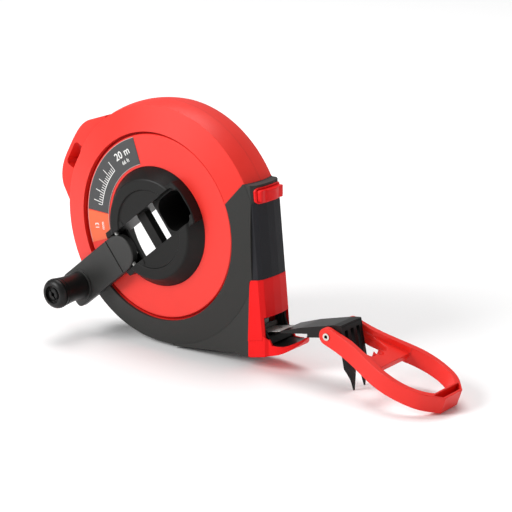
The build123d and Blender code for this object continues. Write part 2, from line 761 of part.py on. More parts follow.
with BuildPart() as coil_clip:
    with BuildSketch(side(MID_Y + 4)):
        with BuildLine():
            outer_arc = CenterArc((0, 0), CORE_IN_R, 290, 26)
            inner_arc = CenterArc((0, 0), CORE_IN_R - 0.8, 290, 26)
            Line(outer_arc @ 0, inner_arc @ 0)
            Line(outer_arc @ 1, inner_arc @ 1)
        make_face()
    extrude(amount=8)
saved(coil_clip.part, "coil_clip")

# ================= Crank hub =================
EAR_W = 12.6
EAR_ALONG = 22.4
EAR_TOP_Y = HUB_LAND_Y + 0.6
CROSSBAR_A0 = 1.0
CROSSBAR_A1 = 6.9
CUP_TOP_Y = -6.4
CUP_RIM = 2.6
LEDGE_A0 = 23.8
FOLD_FLOOR_Y = -3.0
FOLD_OUT = 2 * HINGE_ALONG - ARM_TIP - 1.3
FOLD_IN = CUP_IN + 2.0
SWEEP_R = 53.3
SWEEP_HALF = 7.6
SWEEP_LIMIT_R = 30.9


def channel_box(a0, a1, y0, y1, width):
    """Box in the hub's channel, given along the arm, in depth and across."""
    with BuildPart() as box:
        with BuildSketch(arm_side(y1)):
            with Locations(((a0 + a1) / 2, 0)):
                Rectangle(a1 - a0, width)
        extrude(amount=y1 - y0)
    return box.part


HUB_FOOT_Y = 0.0
def cup_boss():
    """Raised block round the mouth of the cup, its outer end sloping back to the hub's edge."""
    with BuildPart() as boss:
        with BuildSketch(side(2.0)):
            with Locations(Rotation(0, 0, ARM_ANGLE)):
                with Locations((-22.0, 0)):
                    RectangleRounded(26.0, CUP_W + 2 * CUP_RIM, 3.0)
        extrude(amount=2.0 - CUP_TOP_Y)
        add(turned([(0, CUP_TOP_Y), (30.9, CUP_TOP_Y), (31.4, CUP_TOP_Y + 0.5), (HUB_R, -0.8), (HUB_R, 2.0), (0, 2.0)]),
            mode=Mode.INTERSECT)
    return boss.part


def knob_sweep():
    """Room that the knob's free end needs at the cup's outer wall as the crank folds over."""
    with BuildPart() as room:
        with BuildSketch(arm_depth(SWEEP_HALF)):
            with Locations((HINGE_ALONG, HINGE_Y)):
                Circle(SWEEP_R)
        extrude(amount=-2 * SWEEP_HALF)
        add(channel_box(-40, -20, -12, CUP_FLOOR_Y, 2 * SWEEP_HALF), mode=Mode.INTERSECT)
        add(washer(0, SWEEP_LIMIT_R, -12, CUP_FLOOR_Y), mode=Mode.INTERSECT)
    return room.part


with BuildPart() as crank_hub:
    with BuildSketch(DEPTH):
        with BuildLine():
            Polyline((0, HUB_LAND_Y + 0.9), (20.6, HUB_LAND_Y + 0.9), (21.2, HUB_LAND_Y), (25.6, HUB_LAND_Y))
            ThreePointArc((25.6, HUB_LAND_Y), (26.6, HUB_LAND_Y + 0.25), (27.2, HUB_LAND_Y + 0.9))
            Line((27.2, HUB_LAND_Y + 0.9), (HUB_R, HUB_FOOT_Y))
            Polyline((HUB_R, HUB_FOOT_Y), (HUB_R, 2.2), (HUB_FLANGE_R, 2.2), (HUB_FLANGE_R, FRONT_FLANGE_Y0),
                     (HUB_R, FRONT_FLANGE_Y0), (HUB_R, HUB_BACK_Y), (0, HUB_BACK_Y), (0, HUB_LAND_Y + 0.9))
        make_face()
    revolve(axis=DRUM_AXIS)
    add(channel_box(-HUB_R - 8, 26, HUB_BACK_Y, HUB_BACK_Y + 8, 80), mode=Mode.SUBTRACT)
    add(cup_boss())
    with BuildSketch(side(2.0)):
        Circle(HUB_R - 0.9)
        with Locations(Rotation(0, 0, ARM_ANGLE)):
            with Locations((EAR_ALONG, 0)):
                RectangleRounded(16.0, 2 * EAR_W + 1.2, 1.0, mode=Mode.INTERSECT)
    extrude(amount=2.0 - EAR_TOP_Y)
    add(channel_box(CUP_OUT - CUP_WALL, CUP_IN + CUP_WALL, 0, CUP_FLOOR_Y + CUP_WALL, CUP_W + 2 * CUP_WALL))
    add(channel_box(CUP_IN + CUP_WALL, 29.2, -12, 30, CHANNEL_W), mode=Mode.SUBTRACT)
    add(channel_box(CUP_IN - 2, 40, -12, FOLD_FLOOR_Y, CHANNEL_W), mode=Mode.SUBTRACT)
    with BuildSketch(side(FOLD_FLOOR_Y)):
        with Locations(Rotation(0, 0, ARM_ANGLE)):
            with Locations(((FOLD_OUT + FOLD_IN) / 2, 0)):
                RectangleRounded(FOLD_IN - FOLD_OUT, CHANNEL_W, 3.4)
    extrude(amount=FOLD_FLOOR_Y + 12, mode=Mode.SUBTRACT)
    with BuildSketch(side(CUP_FLOOR_Y)):
        with Locations(Rotation(0, 0, ARM_ANGLE)):
            with Locations(((CUP_OUT + CUP_IN) / 2, 0)):
                RectangleRounded(CUP_IN - CUP_OUT, CUP_W, 6.0)
    extrude(amount=CUP_FLOOR_Y + 12, mode=Mode.SUBTRACT)
    add(knob_sweep(), mode=Mode.SUBTRACT)
    add(channel_box(CROSSBAR_A0, CROSSBAR_A1, -2.0, 2.7, CHANNEL_W + 1))
    add(channel_box(LEDGE_A0, 30.4, 3.2, 4.8, CHANNEL_W + 1))
    with BuildSketch(arm_depth(EAR_W)):
        with Locations((HINGE_ALONG, HINGE_Y)):
            Circle(HINGE_R)
    extrude(amount=-2 * EAR_W, mode=Mode.SUBTRACT)
    with BuildSketch(side(FRONT_FLANGE_Y0)):
        with PolarLocations(HUB_SCREW_R, HUB_SCREWS):
            Circle(1.0)
    extrude(amount=2.4, mode=Mode.SUBTRACT)
saved(crank_hub.part, "crank_hub")

with BuildPart() as hub_screws:
    with BuildSketch(side(CORE_FRONT + 2.4)):
        with PolarLocations(HUB_SCREW_R, HUB_SCREWS):
            Circle(1.8)
    extrude(amount=1.2)
    with BuildSketch(side(CORE_FRONT + 1.2)):
        with PolarLocations(HUB_SCREW_R, HUB_SCREWS):
            Circle(1.0)
    extrude(amount=1.2 + FLANGE_T + 2.2)
    with BuildSketch(side(CORE_FRONT + 2.4)):
        with PolarLocations(HUB_SCREW_R, HUB_SCREWS):
            Rectangle(2.2, 0.5)
            Rectangle(0.5, 2.2)
    extrude(amount=0.6, mode=Mode.SUBTRACT)
saved(hub_screws.part, "hub_screws")

with BuildPart() as hinge_pin:
    with BuildSketch(arm_depth(EAR_W)):
        with Locations((HINGE_ALONG, HINGE_Y)):
            Circle(HINGE_R)
    extrude(amount=-2 * EAR_W)
saved(hinge_pin.part, "hinge_pin")

with BuildPart() as detent_spring:
    with BuildSketch(arm_depth(4.0)):
        Polygon((LEDGE_A0 + 0.2, 2.5), (25.2, 1.3), (26.6, 2.5), (27.0, 2.7), (29.0, 2.7), (29.0, 3.2), (26.9, 3.2),
                (26.4, 2.9), (25.2, 1.9), (LEDGE_A0 + 0.2, 3.0), align=None)
    extrude(amount=-8)
saved(detent_spring.part, "detent_spring")

# ================= Crank arm and knob =================
ROOT_R = ARM_WIDTH / 2
ARM_TOP_Y = HINGE_Y - ARM_THICK / 2
ARM_BACK_Y = HINGE_Y + ARM_THICK / 2
PAD_R = 8.6
PAD_Y = ARM_TOP_Y - 1.0
KNOB_Y0 = PAD_Y - 0.3
KNOB_Y1 = -29.3
HEAD_Y = KNOB_Y1 + 0.5
RECESS_Y = KNOB_Y1 + 2.0

with BuildPart() as crank_arm:
    with BuildSketch(arm_side(ARM_BACK_Y)):
        with Locations((ARM_ROOT + ROOT_R, 0)):
            Circle(ROOT_R)
        with Locations(((ARM_ROOT + ROOT_R + ARM_TIP) / 2, 0)):
            Rectangle(ARM_TIP - ARM_ROOT - ROOT_R, ARM_WIDTH)
    extrude(amount=ARM_THICK)
    fillet(crank_arm.edges().filter_by(Axis.Y).sort_by(SortBy.DISTANCE)[-2:], 3.2)
    chamfer(crank_arm.faces().sort_by(Axis.Y)[0].edges(), 0.5)
    with BuildSketch(arm_side(ARM_TOP_Y)):
        with Locations((KNOB_ALONG, 0)):
            Circle(PAD_R)
    extrude(amount=1.0)
    with BuildSketch(arm_side(ARM_TOP_Y)):
        with Locations((30.6, 0)):
            Rectangle(0.9, ARM_WIDTH + 1)
    extrude(amount=-0.5, mode=Mode.SUBTRACT)
    with BuildSketch(arm_depth(EAR_W)):
        with Locations((HINGE_ALONG, HINGE_Y)):
            Circle(HINGE_R + 0.05)
    extrude(amount=-2 * EAR_W, mode=Mode.SUBTRACT)
    with BuildSketch(arm_side(0)):
        with Locations((KNOB_ALONG, 0)):
            Circle(AXLE_R)
    extrude(amount=12, mode=Mode.SUBTRACT)
saved(crank_arm.part, "crank_arm")

with BuildPart() as knob_axle:
    with BuildSketch(arm_side(ARM_BACK_Y)):
        with Locations((KNOB_ALONG, 0)):
            Circle(AXLE_R)
    extrude(amount=ARM_BACK_Y - RECESS_Y + 0.3)
    with BuildSketch(arm_side(RECESS_Y - 0.3)):
        with Locations((KNOB_ALONG, 0)):
            Circle(3.1)
    extrude(amount=RECESS_Y - 0.3 - HEAD_Y)
    chamfer(knob_axle.faces().sort_by(Axis.Y)[0].edges(), 0.4)
    with BuildSketch(arm_side(HEAD_Y)):
        with Locations((KNOB_ALONG, 0)):
            Circle(1.2)
            Rectangle(0.9, 8)
    extrude(amount=-6, mode=Mode.SUBTRACT)
saved(knob_axle.part, "knob_axle")

with BuildPart() as crank_knob:
    with BuildSketch(arm_depth(0)):
        with BuildLine():
            Polyline((KNOB_ALONG, KNOB_Y0), (KNOB_ALONG + 7.6, KNOB_Y0), (KNOB_ALONG + 7.6, KNOB_Y0 - 1.2))
            Spline((KNOB_ALONG + 7.6, KNOB_Y0 - 1.2), (KNOB_ALONG + 7.25, KNOB_Y0 - 6.0),
                   (KNOB_ALONG + 7.6, KNOB_Y0 - 12.0), (KNOB_ALONG + KNOB_R, KNOB_Y0 - 16.0))
            ThreePointArc((KNOB_ALONG + KNOB_R, KNOB_Y0 - 16.0), (KNOB_ALONG + 7.5, KNOB_Y1 + 1.2),
                          (KNOB_ALONG + 5.9, KNOB_Y1))
            Polyline((KNOB_ALONG + 5.9, KNOB_Y1), (KNOB_ALONG, KNOB_Y1), (KNOB_ALONG, KNOB_Y0))
        make_face()
    a = radians(ARM_ANGLE)
    knob_axis = Axis((AXIS_X + KNOB_ALONG * cos(a), AXIS_Y, AXIS_Z + KNOB_ALONG * sin(a)), (0, 1, 0))
    revolve(axis=knob_axis)
    with BuildSketch(arm_side(KNOB_Y1)):
        with Locations((KNOB_ALONG, 0)):
            Circle(4.9)
    extrude(amount=KNOB_Y1 - RECESS_Y, mode=Mode.SUBTRACT)
    with BuildSketch(arm_side(0)):
        with Locations((KNOB_ALONG, 0)):
            Circle(AXLE_R + 0.06)
    extrude(amount=40, mode=Mode.SUBTRACT)
    for depth in (KNOB_Y1 + 3.4, KNOB_Y1 + 6.0):
        with BuildSketch(arm_side(depth)):
            with Locations((KNOB_ALONG, 0)):
                Circle(KNOB_R + 1)
                Circle(KNOB_R - 0.55, mode=Mode.SUBTRACT)
        extrude(amount=0.7, mode=Mode.SUBTRACT)
saved(crank_knob.part, "crank_knob")

# ================= Blade and hook =================
KNUCKLE_R = 4.0
HOOK_TIP_S = 7.6
CLAW_S0 = 4.8
CLAW_S1 = 7.4
SPIKE_END = -29.6
EYELET_R = 1.3
EYELET_BORE = 0.95
ARM_IN = HOOK_HALF + 0.4
ARM_OUT = ARM_IN + RING_BAND


def claw_plane(s):
    """Plane across the blade at a distance past the pin: local x is +Y, local y is off the blade's face."""
    t = radians(BLADE_TILT)
    along = Vector(cos(t), 0, sin(t))
    origin = Vector(AXIS_X + PIN_X, AXIS_Y + MID_Y, AXIS_Z + PIN_Z) + along * s
    return Plane(origin=origin, x_dir=(0, 1, 0), z_dir=along)


with BuildPart() as blade_strip:
    with BuildSketch(blade_plan(BLADE_LEVEL - BLADE_THICK / 2)):
        with Locations(((BLADE_BACK - 5.0) / 2, MID_Y)):
            Rectangle(-5.0 - BLADE_BACK, BLADE_WIDTH)
        with Locations((-9.0, MID_Y - 3.6), (-9.0, MID_Y + 3.6)):
            Circle(1.1, mode=Mode.SUBTRACT)
    extrude(amount=BLADE_THICK)
saved(blade_strip.part, "blade_strip")

with BuildPart() as hook_body:
    with BuildSketch(blade_side(MID_Y + HOOK_HALF)):
        Polygon((-31.5, 1.4), (-31.5, 2.3), (-18.0, 4.0), (3.0, 5.0), (HOOK_TIP_S, 4.6), (HOOK_TIP_S, 0),
                (-31.5, 1.4), align=None)
        Polygon((-15.0, 1.5), (-15.0, -0.6), (-14.4, -1.1), (0, -1.4), (0, 1.5), align=None)
        Circle(KNUCKLE_R)
    extrude(amount=2 * HOOK_HALF)
    with BuildSketch(blade_side(MID_Y + BLADE_WIDTH / 2)):
        with Locations(((BLADE_BACK - 5.0) / 2, BLADE_LEVEL)):
            Rectangle(-5.0 - BLADE_BACK, BLADE_THICK)
    extrude(amount=BLADE_WIDTH, mode=Mode.SUBTRACT)
    with BuildSketch(claw_plane(CLAW_S0)):
        with Locations((0, -0.9)):
            Rectangle(2 * HOOK_HALF - 0.4, 10.2)
    extrude(amount=10, mode=Mode.SUBTRACT)
    with BuildSketch(blade_side(MID_Y + 20)):
        Circle(EYELET_R)
        with Locations((-15.0, 0.1)):
            Rectangle(1.2, 1.4)
    extrude(amount=40, mode=Mode.SUBTRACT)
    with BuildSketch(blade_plan(-3.0)):
        with Locations((-9.0, MID_Y - 3.6), (-9.0, MID_Y + 3.6)):
            Circle(1.1)
    extrude(amount=6.3, mode=Mode.SUBTRACT)
saved(hook_body.part, "hook_body")

with BuildPart() as hook_claw:
    with BuildSketch(claw_plane(CLAW_S0)):
        with Locations((0, 2.6)):
            Rectangle(2 * HOOK_HALF - 0.4, 2.6)
        with Locations((-7.5, -6.0), (-2.6, -6.0), (2.6, -6.0), (7.5, -6.0)):
            Rectangle(2.4, 16.0)
        for flip in (-1, 1):
            with BuildLine():
                Polyline((8.7 * flip, -13.0), (2.0 * flip, -13.0), (1.8 * flip, -18.0))
                ThreePointArc((1.8 * flip, -18.0), (3.2 * flip, -24.6), (4.4 * flip, SPIKE_END))
                Line((4.4 * flip, SPIKE_END), (5.0 * flip, SPIKE_END))
                ThreePointArc((5.0 * flip, SPIKE_END), (6.5 * flip, -23.4), (8.7 * flip, -18.0))
                Line((8.7 * flip, -18.0), (8.7 * flip, -13.0))
            make_face()
    extrude(amount=CLAW_S1 - CLAW_S0)
    with BuildSketch(blade_side(MID_Y + 12)):
        Polygon((CLAW_S0 - 1, -17.5), (CLAW_S0, -17.5), (CLAW_S0 + 1.0, -24.0), (CLAW_S0 + 0.6, -30.5),
                (CLAW_S0 - 1, -30.5), align=None)
        Polygon((CLAW_S1 + 1, -17.5), (CLAW_S1, -17.5), (CLAW_S1 - 0.6, -24.0), (CLAW_S0 + 1.2, -30.5),
                (CLAW_S1 + 1, -30.5), align=None)
    extrude(amount=24, mode=Mode.SUBTRACT)
saved(hook_claw.part, "hook_claw")

RIVET_HEAD = -1.95
with BuildPart() as hook_rivets:
    with BuildSketch(blade_plan(RIVET_HEAD)):
        with Locations((-9.0, MID_Y - 3.6), (-9.0, MID_Y + 3.6)):
            Circle(1.1)
    extrude(amount=3.2 - RIVET_HEAD)
    with BuildSketch(blade_plan(RIVET_HEAD)):
        with Locations((-9.0, MID_Y - 3.6), (-9.0, MID_Y + 3.6)):
            Circle(1.8)
    extrude(amount=0.6)
saved(hook_rivets.part, "hook_rivets")

EYELET_HALF = ARM_OUT + 0.15
with BuildPart() as eyelet_pin:
    with BuildSketch(blade_side(MID_Y + EYELET_HALF)):
        Circle(EYELET_R)
    extrude(amount=2 * EYELET_HALF)
    for y in (MID_Y + EYELET_HALF + 0.4, MID_Y - EYELET_HALF):
        with BuildSketch(blade_side(y)):
            Circle(1.9)
        extrude(amount=0.4)
    with BuildSketch(blade_side(MID_Y + 20)):
        Circle(EYELET_BORE)
    extrude(amount=40, mode=Mode.SUBTRACT)
saved(eyelet_pin.part, "eyelet_pin")

# ================= Pull ring =================
RING_WALL = RING_BAND
WEB_FRONT = 11.2
WEB_REAR = 33.4
OPENING_END = 64.2


def ring_side_prism(height, start):
    """Side outline of the ring's band, rounded about the pin, as a prism across the ring."""
    plane = ring_plan(0)
    across = Plane(origin=plane.origin + Vector(0, 60, 0), x_dir=plane.x_dir, z_dir=(0, -1, 0))
    with BuildPart() as prism:
        with BuildSketch(across):
            with Locations((start, 0)):
                Circle(height / 2)
            with Locations(((start + 80) / 2, 0)):
                Rectangle(80 - start, height)
        extrude(amount=120)
    return prism.part


with BuildPart() as pull_ring:
    with BuildSketch(ring_plan(-RING_HEIGHT / 2)):
        with BuildLine():
            near = Spline((0, MID_Y - ARM_OUT), (12.0, MID_Y - ARM_OUT - 0.8), (24.0, MID_Y - 16.0),
                          (38.0, MID_Y - RING_HALF), (50.0, MID_Y - RING_HALF + 0.2), (60.5, MID_Y - 16.4),
                          (RING_LENGTH, MID_Y - 7.4), tangents=((1, 0), (1, 1.1)))
            far = Spline((0, MID_Y + ARM_OUT), (12.0, MID_Y + ARM_OUT + 0.8), (24.0, MID_Y + 16.0),
                         (38.0, MID_Y + RING_HALF), (50.0, MID_Y + RING_HALF - 0.2), (60.5, MID_Y + 16.4),
                         (RING_LENGTH, MID_Y + 7.4), tangents=((1, 0), (1, -1.1)))
            Line(near @ 1, far @ 1)
            Polyline(near @ 0, (-8, MID_Y - ARM_OUT), (-8, MID_Y + ARM_OUT), far @ 0)
        make_face()
    extrude(amount=RING_HEIGHT)
    with BuildSketch(ring_plan(-RING_HEIGHT / 2)):
        with BuildLine():
            Spline((WEB_REAR, MID_Y - 15.2), (43.0, MID_Y - RING_HALF + RING_WALL),
                   (54.0, MID_Y - 16.2), (OPENING_END, MID_Y - 9.0))
            Line((OPENING_END, MID_Y - 9.0), (OPENING_END, MID_Y + 9.0))
            Spline((OPENING_END, MID_Y + 9.0), (54.0, MID_Y + 16.2), (43.0, MID_Y + RING_HALF - RING_WALL),
                   (WEB_REAR, MID_Y + 15.2))
            Line((WEB_REAR, MID_Y + 15.2), (WEB_REAR, MID_Y - 15.2))
        make_face()
    extrude(amount=RING_HEIGHT, mode=Mode.SUBTRACT)
    for level, amount in ((1.6, RING_HEIGHT), (-1.4, -RING_HEIGHT)):
        with BuildSketch(ring_plan(level)):
            Polygon((-10, MID_Y - ARM_IN), (13, MID_Y - ARM_IN - 0.4), (24, MID_Y - 12.6), (WEB_REAR + 1, MID_Y - 15.2),
                    (WEB_REAR + 1, MID_Y + 15.2), (24, MID_Y + 12.6), (13, MID_Y + ARM_IN + 0.4),
                    (-10, MID_Y + ARM_IN), align=None)
        extrude(amount=amount, mode=Mode.SUBTRACT)
    with BuildSketch(ring_plan(-RING_HEIGHT / 2)):
        Polygon((-10, MID_Y - ARM_IN), (WEB_FRONT + 3, MID_Y - ARM_IN), (WEB_FRONT + 11.4, MID_Y - ARM_IN + 1.4),
                (WEB_FRONT + 11.4, MID_Y + ARM_IN - 1.4), (WEB_FRONT + 3, MID_Y + ARM_IN), (-10, MID_Y + ARM_IN),
                align=None)
        with Locations((WEB_FRONT + 11.4, MID_Y - 5.2), (WEB_FRONT + 13.4, MID_Y), (WEB_FRONT + 11.4, MID_Y + 5.2)):
            Circle(2.7)
    extrude(amount=RING_HEIGHT, mode=Mode.SUBTRACT)
    with BuildSketch(ring_plan(RING_HEIGHT / 2)):
        Polygon((65.1, MID_Y - 11.0), (66.3, MID_Y - 10.4), (68.8, MID_Y - 7.8), (68.8, MID_Y + 7.8),
                (66.3, MID_Y + 10.4), (65.1, MID_Y + 11.0), align=None)
    extrude(amount=-7.0, mode=Mode.SUBTRACT)
    add(ring_side_prism(RING_HEIGHT, 0.0), mode=Mode.INTERSECT)
    with BuildSketch(blade_side(MID_Y + 20)):
        Circle(EYELET_R + 0.06)
    extrude(amount=40, mode=Mode.SUBTRACT)
saved(pull_ring.part, "pull_ring")
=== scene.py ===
"""Looks of a long measuring tape: a round case, a drum with a folding crank, and a clawed hook in a pull ring."""

from __future__ import annotations

import logging
import math
from dataclasses import dataclass, field
from enum import Enum
from typing import Any, Sequence

import bpy
import numpy as np
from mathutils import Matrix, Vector


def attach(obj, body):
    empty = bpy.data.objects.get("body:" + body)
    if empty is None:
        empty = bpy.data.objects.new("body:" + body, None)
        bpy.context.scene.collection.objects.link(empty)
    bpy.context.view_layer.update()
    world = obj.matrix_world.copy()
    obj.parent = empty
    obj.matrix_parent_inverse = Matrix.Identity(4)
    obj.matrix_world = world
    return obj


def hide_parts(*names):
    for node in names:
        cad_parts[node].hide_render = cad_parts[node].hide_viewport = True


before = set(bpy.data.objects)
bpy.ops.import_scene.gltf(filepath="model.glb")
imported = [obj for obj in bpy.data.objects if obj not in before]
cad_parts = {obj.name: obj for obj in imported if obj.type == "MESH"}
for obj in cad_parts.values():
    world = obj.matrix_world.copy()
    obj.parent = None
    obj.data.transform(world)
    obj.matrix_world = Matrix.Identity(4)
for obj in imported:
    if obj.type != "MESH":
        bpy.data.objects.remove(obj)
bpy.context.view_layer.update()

log = logging.getLogger("measuring_tape")

MM = 0.001
DRUM_CENTRE = np.array((-52.617, -2.294, 66.218)) * MM
"""Where the drum's axis meets the face of its label disc."""
MID_PLANE_Y = 13.5 * MM + DRUM_CENTRE[1]
"""The plane that parts the two shells."""
MM_PER_M = 1000.0
SEAM_EDGE_MM, SEAM_CORE_MM = 0.16, 0.05
# Half widths of the line where the shells meet, whose colour is darkened as painted shade in the gap: where it
# starts to show, and where it is at its darkest.
"""Half widths of the line where the shells meet: where it starts to show, and where it is at its darkest."""
INK_GAP_MM = 0.002
"""How far print stands off the label under it."""


# ---------------------------------------------------------------- shader arithmetic
class Signal:
    """A number that changes over a surface: a socket on which arithmetic adds Math nodes."""

    def __init__(self, recipe: "Recipe", socket: bpy.types.NodeSocket) -> None:
        """Wraps a socket of a recipe's node tree."""
        self.recipe = recipe
        self.socket = socket

    def _math(self, operation: str, *values: Any) -> "Signal":
        """Adds one Math node.

        Args:
            operation: The Math node's operation.
            values: Its inputs in order, each a Signal or a number.

        Returns:
            The node's result.
        """
        made = self.recipe.node("ShaderNodeMath", {"operation": operation}, dict(enumerate(values)))
        return Signal(self.recipe, made.outputs[0])

    def __add__(self, other: Any) -> "Signal":
        """Sum."""
        return self._math("ADD", self, other)

    def __sub__(self, other: Any) -> "Signal":
        """Difference."""
        return self._math("SUBTRACT", self, other)

    def __rsub__(self, other: Any) -> "Signal":
        """Difference from a number."""
        return self._math("SUBTRACT", other, self)

    def __mul__(self, other: Any) -> "Signal":
        """Product."""
        return self._math("MULTIPLY", self, other)

    def __lt__(self, other: Any) -> "Signal":
        """1 where this is less, else 0."""
        return self._math("LESS_THAN", self, other)

    def __abs__(self) -> "Signal":
        """Size without sign."""
        return self._math("ABSOLUTE", self)

    __radd__ = __add__
    __rmul__ = __mul__

    def either(self, other: Any) -> "Signal":
        """The greater of two numbers."""
        return self._math("MAXIMUM", self, other)

    def away_from_whole(self) -> "Signal":
        """Distance to the nearest whole number."""
        return abs(self._math("WRAP", self, 0.5, -0.5))

    def ramp(self, low: float, high: float) -> "Signal":
        """Rises smoothly from 0 at low to 1 at high.

        Args:
            low: Where the ramp starts.
            high: Where the ramp ends, above or below low.

        Returns:
            The eased share between the two, held to 0 and 1.
        """
        settings = {"interpolation_type": "SMOOTHSTEP"}
        values = {"Value": self, "From Min": low, "From Max": high}
        return Signal(self.recipe, self.recipe.node("ShaderNodeMapRange", settings, values).outputs[0])


class Recipe:
    """One material's node tree, with the surface shader that its signals feed."""

    def __init__(self, name: str, **constants: Any) -> None:
        """Makes the material.

        Args:
            name: The material's name.
            constants: Values of the surface shader's sockets, by name with _ for a space.
        """
        self.material = bpy.data.materials.new(name)
        self.material.use_nodes = True
        self.tree = self.material.node_tree
        self.tree.nodes.clear()
        sockets = {key.replace("_", " "): value for key, value in constants.items()}
        self.surface = self.node("ShaderNodeBsdfPrincipled", {}, sockets)
        self.node("ShaderNodeOutputMaterial", {}, {"Surface": self.surface.outputs[0]})

    def node(self, kind: str, settings: dict[str, Any], inputs: dict[Any, Any]) -> bpy.types.Node:
        """Adds any node.

        Args:
            kind: The node's type.
            settings: Its own settings, set before its sockets.
            inputs: A value, socket or Signal for each input, by name or place.

        Returns:
            The new node.
        """
        made = self.tree.nodes.new(kind)
        for key, value in settings.items():
            setattr(made, key, value)
        for key, value in inputs.items():
            self.feed(made.inputs[key], value)
        return made

    def feed(self, target: bpy.types.NodeSocket, value: Any) -> None:
        """Links or sets one input from a Signal, a socket or a plain value."""
        if isinstance(value, Signal):
            value = value.socket
        if isinstance(value, bpy.types.NodeSocket):
            self.tree.links.new(value, target)
        else:
            target.default_value = value

    def place(self) -> bpy.types.NodeSocket:
        """Position in the row's frame, in metres."""
        return self.node("ShaderNodeTexCoord", {}, {}).outputs["Object"]

    def along(self, direction: Sequence[float], origin: Sequence[float] = (0.0, 0.0, 0.0)) -> Signal:
        """Distance in millimetres past an origin along a direction.

        Args:
            direction: A unit vector in the row's frame.
            origin: Where the distance is zero, in metres.

        Returns:
            The position's dot product with the direction, less the origin's.
        """
        inputs = {0: self.place(), 1: tuple(direction)}
        made = self.node("ShaderNodeVectorMath", {"operation": "DOT_PRODUCT"}, inputs)
        return (Signal(self, made.outputs["Value"]) - float(np.dot(direction, origin))) * MM_PER_M

    def noise(self, size_mm: float, detail: float = 3.0, stretch: Sequence[float] = (1, 1, 1)) -> Signal:
        """Cloudy noise about 0.5.

        Args:
            size_mm: The width of its spots.
            detail: The number of finer layers.
            stretch: How much each axis is squeezed, which draws the spots out along the others.

        Returns:
            The noise.
        """
        mapping = self.node("ShaderNodeMapping", {}, {"Vector": self.place(), "Scale": tuple(stretch)})
        inputs = {"Vector": mapping.outputs[0], "Scale": MM_PER_M / size_mm, "Detail": detail}
        return Signal(self, self.node("ShaderNodeTexNoise", {}, inputs).outputs[0])

    def cells(self, size_mm: float) -> Signal:
        """Distance to the middle of the nearest of many small cells, as a share of their size."""
        inputs = {"Vector": self.place(), "Scale": MM_PER_M / size_mm}
        return Signal(self, self.node("ShaderNodeTexVoronoi", {}, inputs).outputs["Distance"])

    def rounded(self, radius_mm: float) -> bpy.types.NodeSocket:
        """Normal of the surface as if its edges were rounded to a radius."""
        return self.node("ShaderNodeBevel", {"samples": 4}, {"Radius": radius_mm * MM}).outputs[0]

    def edges(self, normal: bpy.types.NodeSocket) -> Signal:
        """Near 1 on sharp edges and 0 on flats: one less the rounded normal's dot product with the true one."""
        true = self.node("ShaderNodeNewGeometry", {}, {}).outputs["Normal"]
        made = self.node("ShaderNodeVectorMath", {"operation": "DOT_PRODUCT"}, {0: normal, 1: true})
        return (1.0 - Signal(self, made.outputs["Value"])).ramp(0.02, 0.3)

    def blend(self, share: Signal, first: Any, second: Any) -> bpy.types.NodeSocket:
        """Mixes two colours, from the first at share 0 to the second at 1."""
        inputs = {"Factor": share, 6: opaque(first), 7: opaque(second)}
        return self.node("ShaderNodeMix", {"data_type": "RGBA"}, inputs).outputs[2]

    def relief(
        self, height: Signal, depth_mm: float, strength: float, normal: bpy.types.NodeSocket | None = None
    ) -> bpy.types.NodeSocket:
        """Bumps the surface.

        Args:
            height: The height's share of the depth.
            depth_mm: The depth of the relief.
            strength: The bump's strength.
            normal: The normal to start from, if it isn't the mesh's.

        Returns:
            The bumped normal.
        """
        inputs = {"Strength": strength, "Distance": depth_mm * MM, "Height": height}
        if normal is not None:
            inputs["Normal"] = normal
        return self.node("ShaderNodeBump", {}, inputs).outputs[0]

    def finish(self, **sockets: Any) -> bpy.types.Material:
        """Feeds the surface shader's varying sockets, and returns the material."""
        for key, value in sockets.items():
            self.feed(self.surface.inputs[key.replace("_", " ")], value)
        return self.material


def opaque(colour: Any) -> Any:
    """A colour of three numbers with its alpha of 1; a socket passes as it is."""
    return colour if isinstance(colour, bpy.types.NodeSocket) else (*colour, 1.0)


# ---------------------------------------------------------------- finishes
class Grain(Enum):
    """Texture of a mould's surface: the size of its grain and the depth, both in millimetres."""

    SATIN = (0.35, 0.012)
    SPARK = (0.55, 0.03)
    SMOOTH = (1.2, 0.004)


@dataclass(frozen=True)
class MouldedPlastic:
    """Plastic from a textured mould, with faint mottling, paler edges that are partly rubbed wear and partly
    painted highlight, and a few hair scratches.
    """

    name: str
    colour: tuple[float, float, float]
    roughness: float = 0.42
    grain: Grain = Grain.SATIN
    edge_mm: float = 0.35
    rubbed: float = 0.25
    parted: bool = False
    specular: float = 0.5

    def dress(self) -> bpy.types.Material:
        """Makes the material."""
        recipe = Recipe(self.name, Specular_IOR_Level=self.specular)
        size, depth = self.grain.value
        normal = recipe.rounded(self.edge_mm)
        rim = recipe.edges(normal)
        cloud = recipe.noise(18.0, 3.0)
        fine = recipe.noise(size, 2.0)
        hair = abs(recipe.noise(2.4, 4.0, (1.0, 0.4, 9.0)) - 0.5).ramp(0.012, 0.004) * cloud.ramp(0.5, 0.62)
        dark = tuple(0.86 * part for part in self.colour)
        pale = tuple(min(1.0, 1.25 * part + 0.02) for part in self.colour)
        colour = recipe.blend(cloud, dark, self.colour)
        # paler edges: partly rubbed wear, partly a painted highlight where the rounded edges catch the light
        colour = recipe.blend(rim * self.rubbed, colour, pale)
        colour = recipe.blend(hair * 0.25, colour, pale)
        height = fine
        if self.parted:
            seam = abs(recipe.along((0, 1, 0), (0, MID_PLANE_Y, 0))).ramp(SEAM_EDGE_MM, SEAM_CORE_MM)
            # painted shade: the line where the shells meet is darkened as if shade fell into the gap; the shallow
            # groove in the bump is real relief
            colour = recipe.blend(seam * 0.55, colour, tuple(0.35 * part for part in self.colour))
            height = fine - seam * 4.0
        rough = self.roughness + (cloud - 0.5) * 0.12 + (fine - 0.5) * 0.1 + hair * 0.1
        bump = recipe.relief(height, depth, 0.55, normal)
        return recipe.finish(Base_Color=colour, Roughness=rough, Normal=bump)


